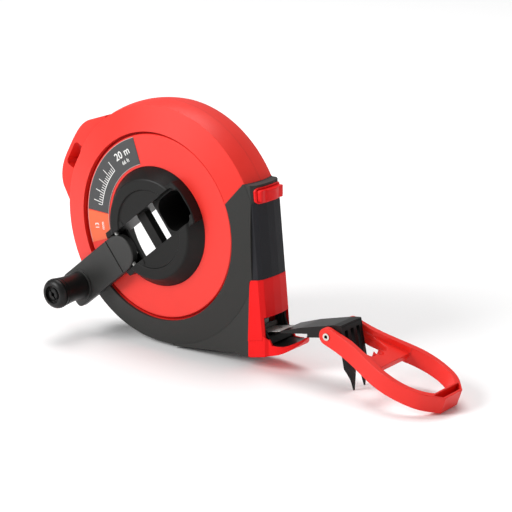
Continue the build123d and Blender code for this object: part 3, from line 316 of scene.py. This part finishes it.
@dataclass(frozen=True)
class SoftRubber:
    """Overmoulded elastomer with a pebbled skin, and pale bloom on its edges."""

    name: str
    colour: tuple[float, float, float]
    pebble_mm: float = 0.6
    parted: bool = False
    specular: float = 0.3

    def dress(self) -> bpy.types.Material:
        """Makes the material."""
        recipe = Recipe(self.name, Specular_IOR_Level=self.specular, Sheen_Weight=0.04, Sheen_Roughness=0.5)
        normal = recipe.rounded(0.4)
        rim = recipe.edges(normal)
        cloud = recipe.noise(14.0, 4.0)
        pebble = recipe.cells(self.pebble_mm)
        dust = recipe.noise(0.8, 2.0).ramp(0.66, 0.8) * cloud.ramp(0.45, 0.7)
        bloom = tuple(1.5 * part + 0.008 for part in self.colour)
        colour = recipe.blend(cloud, tuple(0.82 * part for part in self.colour), self.colour)
        colour = recipe.blend(rim * 0.4 + dust * 0.12, colour, bloom)
        height = 1.0 - pebble
        if self.parted:
            seam = abs(recipe.along((0, 1, 0), (0, MID_PLANE_Y, 0))).ramp(SEAM_EDGE_MM, SEAM_CORE_MM)
            # painted shade: the line where the grip halves meet is darkened as if shade fell into the gap; the
            # shallow groove in the bump is real relief
            colour = recipe.blend(seam * 0.6, colour, tuple(0.3 * part for part in self.colour))
            height = height - seam * 3.0
        rough = 0.56 + (cloud - 0.5) * 0.16 + pebble * 0.08
        bump = recipe.relief(height, 0.03, 0.5, normal)
        return recipe.finish(Base_Color=colour, Roughness=rough, Normal=bump)


@dataclass(frozen=True)
class BlackedSteel:
    """Steel under a thin black coat, rubbed bright in patches on its sharp edges."""

    name: str
    colour: tuple[float, float, float]
    worn: float = 0.22

    def dress(self) -> bpy.types.Material:
        """Makes the material."""
        recipe = Recipe(self.name, Specular_IOR_Level=0.16)
        normal = recipe.rounded(0.2)
        patch = recipe.noise(1.6, 5.0)
        bare = recipe.edges(normal) * patch.ramp(0.48, 0.62) * self.worn
        fine = recipe.noise(0.25, 3.0)
        colour = recipe.blend(patch, tuple(0.7 * part for part in self.colour), self.colour)
        colour = recipe.blend(bare, colour, (0.42, 0.41, 0.4))
        rough = 0.34 + patch * 0.14 + (fine - 0.5) * 0.12
        bump = recipe.relief(fine, 0.012, 0.5, normal)
        return recipe.finish(Base_Color=colour, Metallic=bare * 0.9, Roughness=rough, Normal=bump)


@dataclass(frozen=True)
class BrightMetal:
    """Bare or plated metal with fine drawn lines and dull spots."""

    name: str
    colour: tuple[float, float, float]
    roughness: float = 0.28
    lines: tuple[float, float, float] = (1.0, 12.0, 1.0)

    def dress(self) -> bpy.types.Material:
        """Makes the material."""
        recipe = Recipe(self.name, Metallic=1.0)
        normal = recipe.rounded(0.15)
        drawn = recipe.noise(1.5, 4.0, self.lines)
        spot = recipe.noise(3.0, 4.0).ramp(0.55, 0.75)
        colour = recipe.blend(drawn, tuple(0.78 * part for part in self.colour), self.colour)
        colour = recipe.blend(spot * 0.35, colour, tuple(0.5 * part for part in self.colour))
        rough = self.roughness + (drawn - 0.5) * 0.25 + spot * 0.15
        bump = recipe.relief(drawn, 0.006, 0.5, normal)
        return recipe.finish(Base_Color=colour, Roughness=rough, Normal=bump)


@dataclass(frozen=True)
class MarkedBlade:
    """Pale coated steel blade, printed with lines at each millimetre that grow at each fifth and tenth."""

    name: str
    colour: tuple[float, float, float]
    along: tuple[float, float, float]
    origin: tuple[float, float, float]
    half_width_mm: float

    def dress(self) -> bpy.types.Material:
        """Makes the material: a line shows where the distance to a whole step is under half the line's width."""
        recipe = Recipe(self.name, Metallic=0.35, Specular_IOR_Level=0.5)
        run = recipe.along(self.along, self.origin)
        inward = self.half_width_mm - abs(recipe.along((0, 1, 0), self.origin))
        printed: Signal | None = None
        for step_mm, length_mm, width_mm in ((1.0, 2.3, 0.2), (5.0, 3.4, 0.24), (10.0, 4.6, 0.3)):
            line = ((run * (1.0 / step_mm)).away_from_whole() < 0.5 * width_mm / step_mm) * (inward < length_mm)
            printed = line if printed is None else printed.either(line)
        drawn = recipe.noise(1.0, 3.0, (1.0, 14.0, 1.0))
        smear = recipe.noise(9.0, 4.0).ramp(0.5, 0.75)
        colour = recipe.blend(drawn, tuple(0.86 * part for part in self.colour), self.colour)
        colour = recipe.blend(smear * 0.3, colour, tuple(0.62 * part for part in self.colour))
        colour = recipe.blend(printed * 0.92, colour, (0.012, 0.012, 0.014))
        rough = 0.34 + drawn * 0.14 + printed * 0.12
        bump = recipe.relief(drawn, 0.004, 0.4)
        return recipe.finish(Base_Color=colour, Roughness=rough, Normal=bump)


@dataclass(frozen=True)
class PrintedFilm:
    """Printed label film with a faint weave of ink dots and a satin varnish."""

    name: str
    colour: tuple[float, float, float]
    roughness: float = 0.36

    def dress(self) -> bpy.types.Material:
        """Makes the material."""
        recipe = Recipe(self.name, Coat_Roughness=0.3, Specular_IOR_Level=0.45)
        ink = recipe.noise(0.3, 2.0)
        handled = recipe.noise(7.0, 4.0)
        colour = recipe.blend(ink * 0.5, self.colour, tuple(0.8 * part + 0.004 for part in self.colour))
        colour = recipe.blend(handled.ramp(0.55, 0.8) * 0.2, colour, tuple(0.7 * part for part in self.colour))
        rough = self.roughness + (handled - 0.5) * 0.2 + (ink - 0.5) * 0.08
        bump = recipe.relief(ink, 0.004, 0.3)
        return recipe.finish(Base_Color=colour, Roughness=rough, Coat_Weight=handled * 0.3, Normal=bump)


@dataclass(frozen=True)
class PressedFelt:
    """Pressed wool felt: short crossing fibres with a soft sheen."""

    name: str
    colour: tuple[float, float, float]

    def dress(self) -> bpy.types.Material:
        """Makes the material."""
        recipe = Recipe(self.name, Specular_IOR_Level=0.15, Sheen_Weight=0.4, Sheen_Roughness=0.6)
        across = recipe.noise(0.5, 4.0, (1.0, 6.0, 1.0))
        upward = recipe.noise(0.5, 4.0, (1.0, 1.0, 6.0))
        fibre = across.either(upward)
        colour = recipe.blend(fibre, tuple(0.5 * part for part in self.colour), self.colour)
        rough = 0.8 + fibre * 0.15
        bump = recipe.relief(fibre, 0.08, 0.8)
        return recipe.finish(Base_Color=colour, Roughness=rough, Normal=bump)


RED = (0.87, 0.033, 0.022)
DEEP_RED = (0.86, 0.011, 0.012)
RING_RED = (0.84, 0.022, 0.014)
# painted shade: a half-bright copy of the case red, so the gap round the label disc reads as a shaded red wall
GAP_SHADE_RED = (0.42, 0.006, 0.006)
BLACK = (0.021, 0.021, 0.0198)
HUB_BLACK = (0.0095, 0.0093, 0.0088)
DEEP_BLACK = (0.0085, 0.0082, 0.008)
BLADE_TILT = math.radians(12.5)
BLADE_ALONG = (math.cos(BLADE_TILT), 0.0, math.sin(BLADE_TILT))
BLADE_OFF = (-math.sin(BLADE_TILT), 0.0, math.cos(BLADE_TILT))
PIN = DRUM_CENTRE + np.array((108.0, 13.5, -38.5)) * MM


class Finish(Enum):
    """The finishes that the tool's pieces take."""

    RED_SHELL = MouldedPlastic("red_shell_plastic", RED, 0.42, Grain.SATIN, 0.4, 0.22, True, 0.28)
    RED_GUARD = MouldedPlastic("red_guard_plastic", DEEP_RED, 0.42, Grain.SMOOTH, 0.5, 0.25, specular=0.1)
    RED_DISC = MouldedPlastic("red_disc_plastic", RED, 0.44, Grain.SATIN, 0.3, 0.2, specular=0.4)
    RED_RING = MouldedPlastic("red_ring_plastic", RING_RED, 0.36, Grain.SMOOTH, 0.6, 0.3, specular=0.34)
    RED_BUTTON = MouldedPlastic("red_button_plastic", DEEP_RED, 0.34, Grain.SMOOTH, 0.4, 0.35, specular=0.16)
    GRIP = SoftRubber("black_grip_rubber", (0.0275, 0.0275, 0.0255), 0.6, True)
    NOSE = SoftRubber("black_nose_rubber", (0.021, 0.0212, 0.025), 0.45, True, 0.12)
    PAD = SoftRubber("brake_pad_rubber", (0.02, 0.02, 0.02), 0.5)
    BLACK_PLASTIC = MouldedPlastic("black_nylon", BLACK, 0.44, Grain.SPARK, 0.35, 0.5)
    HUB = MouldedPlastic("hub_nylon", HUB_BLACK, 0.42, Grain.SATIN, 0.4, 0.6, specular=0.2)
    DEEP_PLASTIC = MouldedPlastic("deep_black_nylon", DEEP_BLACK, 0.38, Grain.SATIN, 0.3, 0.6, specular=0.25)
    BEARING = MouldedPlastic("bearing_acetal", (0.012, 0.012, 0.012), 0.5, Grain.SMOOTH, 0.2, 0.2)
    # painted shade: the front bearing ring takes the half-bright red that stands in for shade in the gap round the
    # label disc
    RED_BEARING = MouldedPlastic("bearing_painted_gap_shade", GAP_SHADE_RED, 0.5, Grain.SMOOTH, 0.2, 0.2, specular=0.1)
    ACETAL = MouldedPlastic("natural_acetal", (0.72, 0.71, 0.66), 0.35, Grain.SMOOTH, 0.3, 0.1)
    FELT = PressedFelt("wiper_felt", (0.12, 0.11, 0.10))
    BLACK_STEEL = BlackedSteel("black_coated_steel", (0.008, 0.008, 0.0085))
    STEEL = BrightMetal("bright_steel", (0.62, 0.62, 0.6))
    NICKEL = BrightMetal("plated_eyelet", (0.78, 0.76, 0.7), 0.18, (1.0, 3.0, 1.0))
    COIL = BrightMetal("wound_blade", (0.55, 0.55, 0.52), 0.35, (6.0, 1.0, 6.0))
    BLADE = MarkedBlade("marked_blade", (0.62, 0.62, 0.59), BLADE_ALONG, tuple(PIN), 6.5)
    LABEL_GREY = PrintedFilm("grey_label_film", (0.042, 0.043, 0.045))
    LABEL_ORANGE = PrintedFilm("orange_label_film", (0.88, 0.13, 0.035), 0.4)
    INK_WHITE = PrintedFilm("white_ink", (0.82, 0.82, 0.8), 0.5)
    INK_PALE = PrintedFilm("pale_ink", (0.5, 0.34, 0.32), 0.5)
    INK_BLACK = PrintedFilm("black_ink", (0.012, 0.012, 0.014), 0.5)


class PaintShop:
    """Makes each finish once and puts it on pieces."""

    def __init__(self) -> None:
        """Starts with no material made."""
        self.made: dict[Finish, bpy.types.Material] = {}

    def coat(self, piece: bpy.types.Object, finish: Finish) -> bpy.types.Object:
        """Puts a finish on a piece, in place of what it had.

        Args:
            piece: The mesh object to dress.
            finish: The finish it takes.

        Returns:
            The same piece.
        """
        if finish not in self.made:
            self.made[finish] = finish.value.dress()
        piece.data.materials.clear()
        piece.data.materials.append(self.made[finish])
        return piece

    def coat_nodes(self, finishes: dict[str, Finish]) -> None:
        """Puts finishes on solids of the frame, by node name."""
        for name, finish in finishes.items():
            self.coat(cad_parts[name], finish)
            log.info("dressed %s as %s", name, finish.name.lower())


# ---------------------------------------------------------------- surfaces
class Surface:
    """Meshes worked out as whole arrays of points."""

    @staticmethod
    def grid(name: str, points: np.ndarray, closed: bool = True) -> bpy.types.Object:
        """Makes a tube or strip from rings of points.

        Args:
            name: The piece's name.
            points: An array of rings by points by three, in metres. Face r, p joins ring r to r + 1.
            closed: True if each ring's last point joins its first, and the two ends are capped.

        Returns:
            A new object at the origin.
        """
        rings, count, _ = points.shape
        ring = np.arange(rings - 1)[:, None]
        step = np.arange(count if closed else count - 1)[None, :]
        after = (step + 1) % count
        here, beyond = ring * count, (ring + 1) * count
        quads = np.stack((here + step, here + after, beyond + after, beyond + step), -1)
        faces = quads.reshape(-1, 4).tolist()
        if closed:
            faces += [list(range(count - 1, -1, -1)), list(range((rings - 1) * count, rings * count))]
        return Surface.solid(name, points.reshape(-1, 3), faces)

    @staticmethod
    def solid(name: str, points: np.ndarray, faces: Sequence[Sequence[int]]) -> bpy.types.Object:
        """Makes an object from points and faces, with its faces turned outwards."""
        mesh = bpy.data.meshes.new(name)
        mesh.from_pydata(points.tolist(), [], faces)
        piece = bpy.data.objects.new(name, mesh)
        bpy.context.scene.collection.objects.link(piece)
        Surface.turn_out(mesh)
        return piece

    @staticmethod
    def turn_out(mesh: bpy.types.Mesh) -> None:
        """Turns a closed mesh's faces outwards, if its signed volume is negative."""
        mesh.calc_loop_triangles()
        corners = np.empty(len(mesh.loop_triangles) * 3, np.int32)
        mesh.loop_triangles.foreach_get("vertices", corners)
        spots = np.empty(len(mesh.vertices) * 3)
        mesh.vertices.foreach_get("co", spots)
        a, b, c = spots.reshape(-1, 3)[corners.reshape(-1, 3)].transpose(1, 0, 2)
        if np.einsum("ij,ij->", a, np.cross(b, c)) < 0:
            mesh.flip_normals()

    @staticmethod
    def lettering(name: str, words: str, height: float, frame_of: np.ndarray, thick: float) -> bpy.types.Object:
        """Makes flat characters as a thin mesh.

        Args:
            name: The piece's name.
            words: The characters.
            height: Their size in metres.
            frame_of: A matrix of 3 by 4: its columns are the reading direction, the upward one, the one off the
                face, and the middle of the words, in metres.
            thick: How proud of the face they stand, in metres.

        Returns:
            A new object at the origin. Each of its points is the first three columns times the flat point's three
            numbers, plus the last column.
        """
        curve = bpy.data.curves.new(name, "FONT")
        curve.body = words
        curve.size = height
        curve.align_x = curve.align_y = "CENTER"
        curve.extrude = thick / 2
        curve.offset = 0.014 * height
        curve.resolution_u = 4
        flat = bpy.data.objects.new(name, curve)
        bpy.context.scene.collection.objects.link(flat)
        bpy.context.view_layer.update()
        mesh = bpy.data.meshes.new_from_object(flat)
        bpy.data.objects.remove(flat)
        spots = np.empty(len(mesh.vertices) * 3)
        mesh.vertices.foreach_get("co", spots)
        spots = spots.reshape(-1, 3) + (0.0, 0.0, thick / 2)
        placed = spots @ frame_of[:, :3].T + frame_of[:, 3]
        mesh.vertices.foreach_set("co", placed.astype(np.float32).ravel())
        mesh.update()
        piece = bpy.data.objects.new(name, mesh)
        bpy.context.scene.collection.objects.link(piece)
        return piece

    @staticmethod
    def smooth(piece: bpy.types.Object, angle: float = 40.0) -> bpy.types.Object:
        """Shades a piece smoothly, except over edges sharper than an angle in degrees."""
        piece.data.shade_smooth()
        piece.data.set_sharp_from_angle(angle=math.radians(angle))
        return piece


@dataclass
class Case:
    """The parts that stay with the shells: rims, grips, nose, guard, foot and what is inside them."""

    shop: PaintShop
    finishes: dict[str, Finish] = field(
        default_factory=lambda: {
            "front_shell": Finish.RED_SHELL,
            "rear_shell": Finish.RED_SHELL,
            "front_grip": Finish.GRIP,
            "rear_grip": Finish.GRIP,
            "nose_panel": Finish.NOSE,
            "mouth_guard": Finish.RED_GUARD,
            "foot": Finish.RED_GUARD,
            "foot_insert": Finish.DEEP_PLASTIC,
            "mouth_liner": Finish.DEEP_PLASTIC,
            "felt_wipers": Finish.FELT,
            # painted shade: the front bearing ring is coloured as the shaded red wall of the gap
            "front_bearing_ring": Finish.RED_BEARING,
            "rear_bearing_ring": Finish.BEARING,
            "case_screws": Finish.BLACK_STEEL,
            "roller_pin": Finish.STEEL,
            "spring_plate": Finish.STEEL,
            "button_bezel": Finish.RED_BUTTON,
            "brake_spring": Finish.STEEL,
            "guide_roller": Finish.ACETAL,
            "lock_button": Finish.RED_BUTTON,
            "brake_pad": Finish.PAD,
        }
    )

    def build(self) -> None:
        """Dresses the case's solids."""
        self.shop.coat_nodes(self.finishes)


@dataclass
class Drum:
    """The turning drum: hub, label disc with its print, and the wound blade."""

    shop: PaintShop
    label_y: float = -0.2
    ink_mm: float = 0.03
    label_in: float = 33.5
    label_out: float = 48.3
    grey_arc: tuple[float, float] = (109.0, 178.0)
    orange_arc: tuple[float, float] = (178.6, 200.0)
    coil_in: float = 40.15
    coil_out: float = 57.55
    coil_y: tuple[float, float] = (7.05, 19.95)
    blade_mm: float = 0.21
    coil_turns: int = 64
    tick_count: int = 18
    first_tick: float = 138.2
    tick_step: float = 2.0
    tick_half: float = 0.28
    tick_foot: float = 38.6
    tick_tops: tuple[float, float] = (41.0, 44.4)
    finishes: dict[str, Finish] = field(
        default_factory=lambda: {
            "crank_hub": Finish.HUB,
            "label_disc": Finish.RED_DISC,
            "length_label": Finish.LABEL_GREY,
            "class_label": Finish.LABEL_ORANGE,
            "front_flange": Finish.ACETAL,
            "rear_flange": Finish.BEARING,
            "drum_core": Finish.BLACK_PLASTIC,
            "coil_clip": Finish.STEEL,
            "hub_screws": Finish.STEEL,
            "hinge_pin": Finish.STEEL,
            "detent_spring": Finish.STEEL,
        }
    )

    def place(self, radius: np.ndarray | float, degrees: np.ndarray | float, y: np.ndarray | float) -> np.ndarray:
        """Points about the drum's axis.

        Args:
            radius: Distance from the axis in millimetres.
            degrees: Angle from +X towards +Z.
            y: Depth behind the label disc's face in millimetres.

        Returns:
            The centre plus radius times (cosine, 0, sine), at depth y, in metres.
        """
        angle = np.radians(degrees)
        parts = np.broadcast_arrays(radius * np.cos(angle), y, radius * np.sin(angle))
        return np.stack(parts, -1) * MM + DRUM_CENTRE

    def arc_bar(self, name: str, radii: tuple[float, float], arc: tuple[float, float]) -> bpy.types.Object:
        """Makes a thin printed bar that follows the drum's curve.

        Args:
            name: The piece's name.
            radii: Its inner and outer radius in millimetres.
            arc: Its first and last angle in degrees.

        Returns:
            The bar: rings across it at even angles, each ring the four corners of its section.
        """
        count = max(3, int(abs(arc[1] - arc[0]) / 1.5))
        angles = np.linspace(arc[0], arc[1], count)[:, None]
        across = np.array((radii[0], radii[1], radii[1], radii[0]))[None, :]
        low, high = self.label_y - INK_GAP_MM, self.label_y - self.ink_mm
        depth = np.array((low, low, high, high))[None, :]
        return Surface.grid(name, self.place(across, angles, depth))

    def words(self, name: str, text: str, height: float, radius: float, degrees: float) -> bpy.types.Object:
        """Makes characters on a label that read clockwise, with their tops outwards.

        Args:
            name: The piece's name.
            text: The characters.
            height: Their size in millimetres.
            radius: Where their middle is, in millimetres.
            degrees: The angle of their middle.

        Returns:
            The lettering.
        """
        angle = math.radians(degrees)
        reading = (math.sin(angle), 0.0, -math.cos(angle))
        upward = (math.cos(angle), 0.0, math.sin(angle))
        middle = self.place(radius, degrees, self.label_y - INK_GAP_MM)
        columns = np.column_stack((reading, upward, (0.0, -1.0, 0.0), middle))
        return Surface.lettering(name, text, height * MM, columns, self.ink_mm * MM)

    def print_labels(self) -> None:
        """Prints the blade's length, a scale of plain ticks, the blade's width and the labels' thin borders."""
        both_labels = (self.grey_arc[0], self.orange_arc[1])
        outer_border = (self.label_out - 0.3, self.label_out)
        inner_border = (self.label_in, self.label_in + 0.3)
        pieces = [
            (self.words("length_figures", "20 m", 5.6, 42.4, 123.5), Finish.INK_WHITE),
            (self.words("length_in_feet", "66 ft", 2.9, 37.9, 123.5), Finish.INK_WHITE),
            (self.words("width_figures", "13", 3.6, 42.4, 189.2), Finish.INK_WHITE),
            (self.words("width_unit", "mm", 2.8, 38.4, 189.2), Finish.INK_WHITE),
            (self.arc_bar("scale_line", (38.2, self.tick_foot), (138.0, 172.0)), Finish.INK_WHITE),
            (self.arc_bar("label_outer_border", outer_border, both_labels), Finish.INK_PALE),
            (self.arc_bar("label_inner_border", inner_border, both_labels), Finish.INK_PALE),
        ]
        for number in range(self.tick_count):
            angle = self.first_tick + self.tick_step * number
            top = self.tick_tops[number % 4 == 0]
            arc = (angle - self.tick_half, angle + self.tick_half)
            bar = self.arc_bar(f"scale_tick_{number:02d}", (self.tick_foot, top), arc)
            pieces.append((bar, Finish.INK_WHITE))
        for piece, finish in pieces:
            self.shop.coat(piece, finish)
            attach(piece, "drum")
            log.info("printed %s", piece.name)

    def wind_coil(self) -> None:
        """Winds the blade on the core: a spiral whose radius grows evenly with its angle, turn on turn."""
        per_turn = 72
        count = self.coil_turns * per_turn + 1
        share = np.linspace(0.0, 1.0, count)[:, None]
        middle = self.coil_in + self.blade_mm / 2 + share * (self.coil_out - self.coil_in - self.blade_mm)
        half = self.blade_mm / 2
        radius = middle + np.array((-half, half, half, -half))[None, :]
        y0, y1 = self.coil_y
        depth = np.array((y0, y0, y1, y1))[None, :]
        coil = Surface.grid("wound_blade", self.place(radius, share * 360.0 * self.coil_turns, depth))
        self.shop.coat(Surface.smooth(coil), Finish.COIL)
        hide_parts("tape_coil")
        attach(coil, "drum")
        log.info("wound %d turns", self.coil_turns)

    def build(self) -> None:
        """Dresses the drum's solids, prints its labels and winds the blade."""
        self.shop.coat_nodes(self.finishes)
        self.print_labels()
        self.wind_coil()


@dataclass
class Crank:
    """The folding crank and its knob."""

    shop: PaintShop
    finishes: dict[str, Finish] = field(
        default_factory=lambda: {
            "crank_arm": Finish.BLACK_PLASTIC,
            "knob_axle": Finish.DEEP_PLASTIC,
            "crank_knob": Finish.DEEP_PLASTIC,
        }
    )

    def build(self) -> None:
        """Dresses the crank."""
        self.shop.coat_nodes(self.finishes)


@dataclass
class HookAndBlade:
    """The blade's straight run and the clawed hook at its end."""

    shop: PaintShop
    level: float = 1.6
    thick: float = 0.3
    width: float = 13.0
    run: tuple[float, float] = (-95.9, -5.1)
    figure_shift: tuple[float, float] = (1.4, 1.2)
    figure_height: float = 3.4
    figure_gap: float = 0.004
    figure_ink: float = 0.02
    finishes: dict[str, Finish] = field(
        default_factory=lambda: {
            "hook_body": Finish.DEEP_PLASTIC,
            "hook_claw": Finish.BLACK_STEEL,
            "hook_rivets": Finish.BLACK_STEEL,
            "eyelet_pin": Finish.NICKEL,
            "pull_ring": Finish.RED_RING,
        }
    )

    def at(self, along: np.ndarray | float, across: np.ndarray | float, off: np.ndarray | float) -> np.ndarray:
        """Points on the blade.

        Args:
            along: Distance past the ring's pin in millimetres.
            across: Distance from the blade's middle line in millimetres.
            off: Height off the pin's level, square to the blade, in millimetres.

        Returns:
            The pin plus along, across and off times their directions, in metres.
        """
        along, across, off = np.broadcast_arrays(along, across, off)
        parts = np.stack((along, across, off), -1) @ np.array((BLADE_ALONG, (0.0, 1.0, 0.0), BLADE_OFF))
        return parts * MM + PIN

    def draw_blade(self) -> None:
        """Draws the blade: a flat section with half-round edges, carried along a straight run."""
        stations = np.linspace(self.run[0], self.run[1], 30)[:, None]
        half = self.thick / 2
        turn = np.linspace(-np.pi / 2, np.pi / 2, 7)
        right = np.stack((self.width / 2 - half + half * np.cos(turn), half * np.sin(turn)), -1)
        section = np.concatenate((right, -right))[None, :, :]
        points = self.at(stations, section[..., 0], self.level + section[..., 1])
        blade = Surface.grid("straight_blade", points)
        self.shop.coat(Surface.smooth(blade, 50.0), Finish.BLADE)
        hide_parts("blade_strip")
        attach(blade, "hook")
        log.info("drew the blade's straight run")

    def number_blade(self) -> None:
        """Prints the number of each centimetre on the blade, upright as seen with the hook to the left."""
        along, across = self.figure_shift
        top = self.level + self.thick / 2 + self.figure_gap
        for number in range(4, 10):
            middle = self.at(-10.0 * number + along, across, top)
            columns = np.column_stack(((0.0, -1.0, 0.0), BLADE_ALONG, BLADE_OFF, middle))
            name = f"blade_figure_{number}"
            figure = Surface.lettering(name, str(number), self.figure_height * MM, columns, self.figure_ink * MM)
            self.shop.coat(figure, Finish.INK_BLACK)
            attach(figure, "hook")

    def build(self) -> None:
        """Dresses the hook and ring, and draws the marked blade."""
        self.shop.coat_nodes(self.finishes)
        self.draw_blade()
        self.number_blade()


@dataclass
class Studio:
    """Pale floor, soft lights, even sky and the camera."""

    floor_half: float = 9.0
    aim: tuple[float, float, float] = (0.012378, -0.002294, 0.062096)
    azimuth: float = 37.5356
    elevation: float = 16.894
    distance: float = 1.0
    lens: float = 139.52

    def lay_floor(self) -> None:
        """Lays a pale floor at the height of the lowest point."""
        edge = self.floor_half
        mesh = bpy.data.meshes.new("studio_floor")
        corners = [(-edge, -edge, 0), (edge, -edge, 0), (edge, edge, 0), (-edge, edge, 0)]
        mesh.from_pydata(corners, [], [(0, 1, 2, 3)])
        floor = bpy.data.objects.new("studio_floor", mesh)
        bpy.context.scene.collection.objects.link(floor)
        recipe = Recipe("pale_floor", Base_Color=(0.96, 0.96, 0.96, 1.0), Roughness=0.9, Specular_IOR_Level=0.1)
        mesh.materials.append(recipe.material)

    def hang_light(self, name: str, place: Sequence[float], size: float, power: float) -> None:
        """Hangs a square soft light that faces the object.

        Args:
            name: The light's name.
            place: Where it hangs, in metres.
            size: Its side in metres.
            power: Its power in watts.
        """
        data = bpy.data.lights.new(name, "AREA")
        data.size, data.energy = size, power
        light = bpy.data.objects.new(name, data)
        light.location = place
        light.rotation_euler = (Vector(self.aim) - Vector(place)).to_track_quat("-Z", "Y").to_euler()
        bpy.context.scene.collection.objects.link(light)

    def spread_sky(self, strength: float) -> None:
        """Surrounds the scene with even white light."""
        world = bpy.data.worlds.new("even_sky")
        world.use_nodes = True
        world.node_tree.nodes["Background"].inputs[0].default_value = (1.0, 1.0, 1.0, 1.0)
        world.node_tree.nodes["Background"].inputs[1].default_value = strength
        bpy.context.scene.world = world

    def set_camera(self) -> None:
        """Sets the camera: the aim plus the distance times the backward direction of its azimuth and elevation."""
        turn, rise = math.radians(self.azimuth), math.radians(self.elevation)
        back = Vector((math.sin(turn) * math.cos(rise), -math.cos(turn) * math.cos(rise), math.sin(rise)))
        data = bpy.data.cameras.new("camera")
        data.lens, data.sensor_width, data.sensor_fit = self.lens, 36.0, "HORIZONTAL"
        data.clip_start, data.clip_end = 0.01, 50.0
        camera = bpy.data.objects.new("camera", data)
        camera.location = Vector(self.aim) + back * self.distance
        camera.rotation_euler = (-back).to_track_quat("-Z", "Y").to_euler()
        bpy.context.scene.collection.objects.link(camera)
        bpy.context.scene.camera = camera

    def build(self) -> None:
        """Sets up the whole studio."""
        self.set_camera()
        self.lay_floor()
        self.spread_sky(0.34)
        self.hang_light("key", (-1.0, -1.7, 1.2), 1.1, 42.0)
        self.hang_light("top", (-0.4, 0.5, 2.0), 1.4, 28.0)
        self.hang_light("fill", (1.8, 0.2, 0.6), 0.7, 2.0)
        bpy.context.scene.view_settings.view_transform = "Standard"
        log.info("studio set")


def main() -> None:
    """Builds the studio and each sub-assembly in turn."""
    logging.basicConfig(level=logging.INFO, format="%(name)s: %(message)s")
    Studio().build()
    shop = PaintShop()
    for part in (Case(shop), Drum(shop), Crank(shop), HookAndBlade(shop)):
        part.build()
        log.info("%s finished", type(part).__name__)


if __name__ == "__main__":
    main()
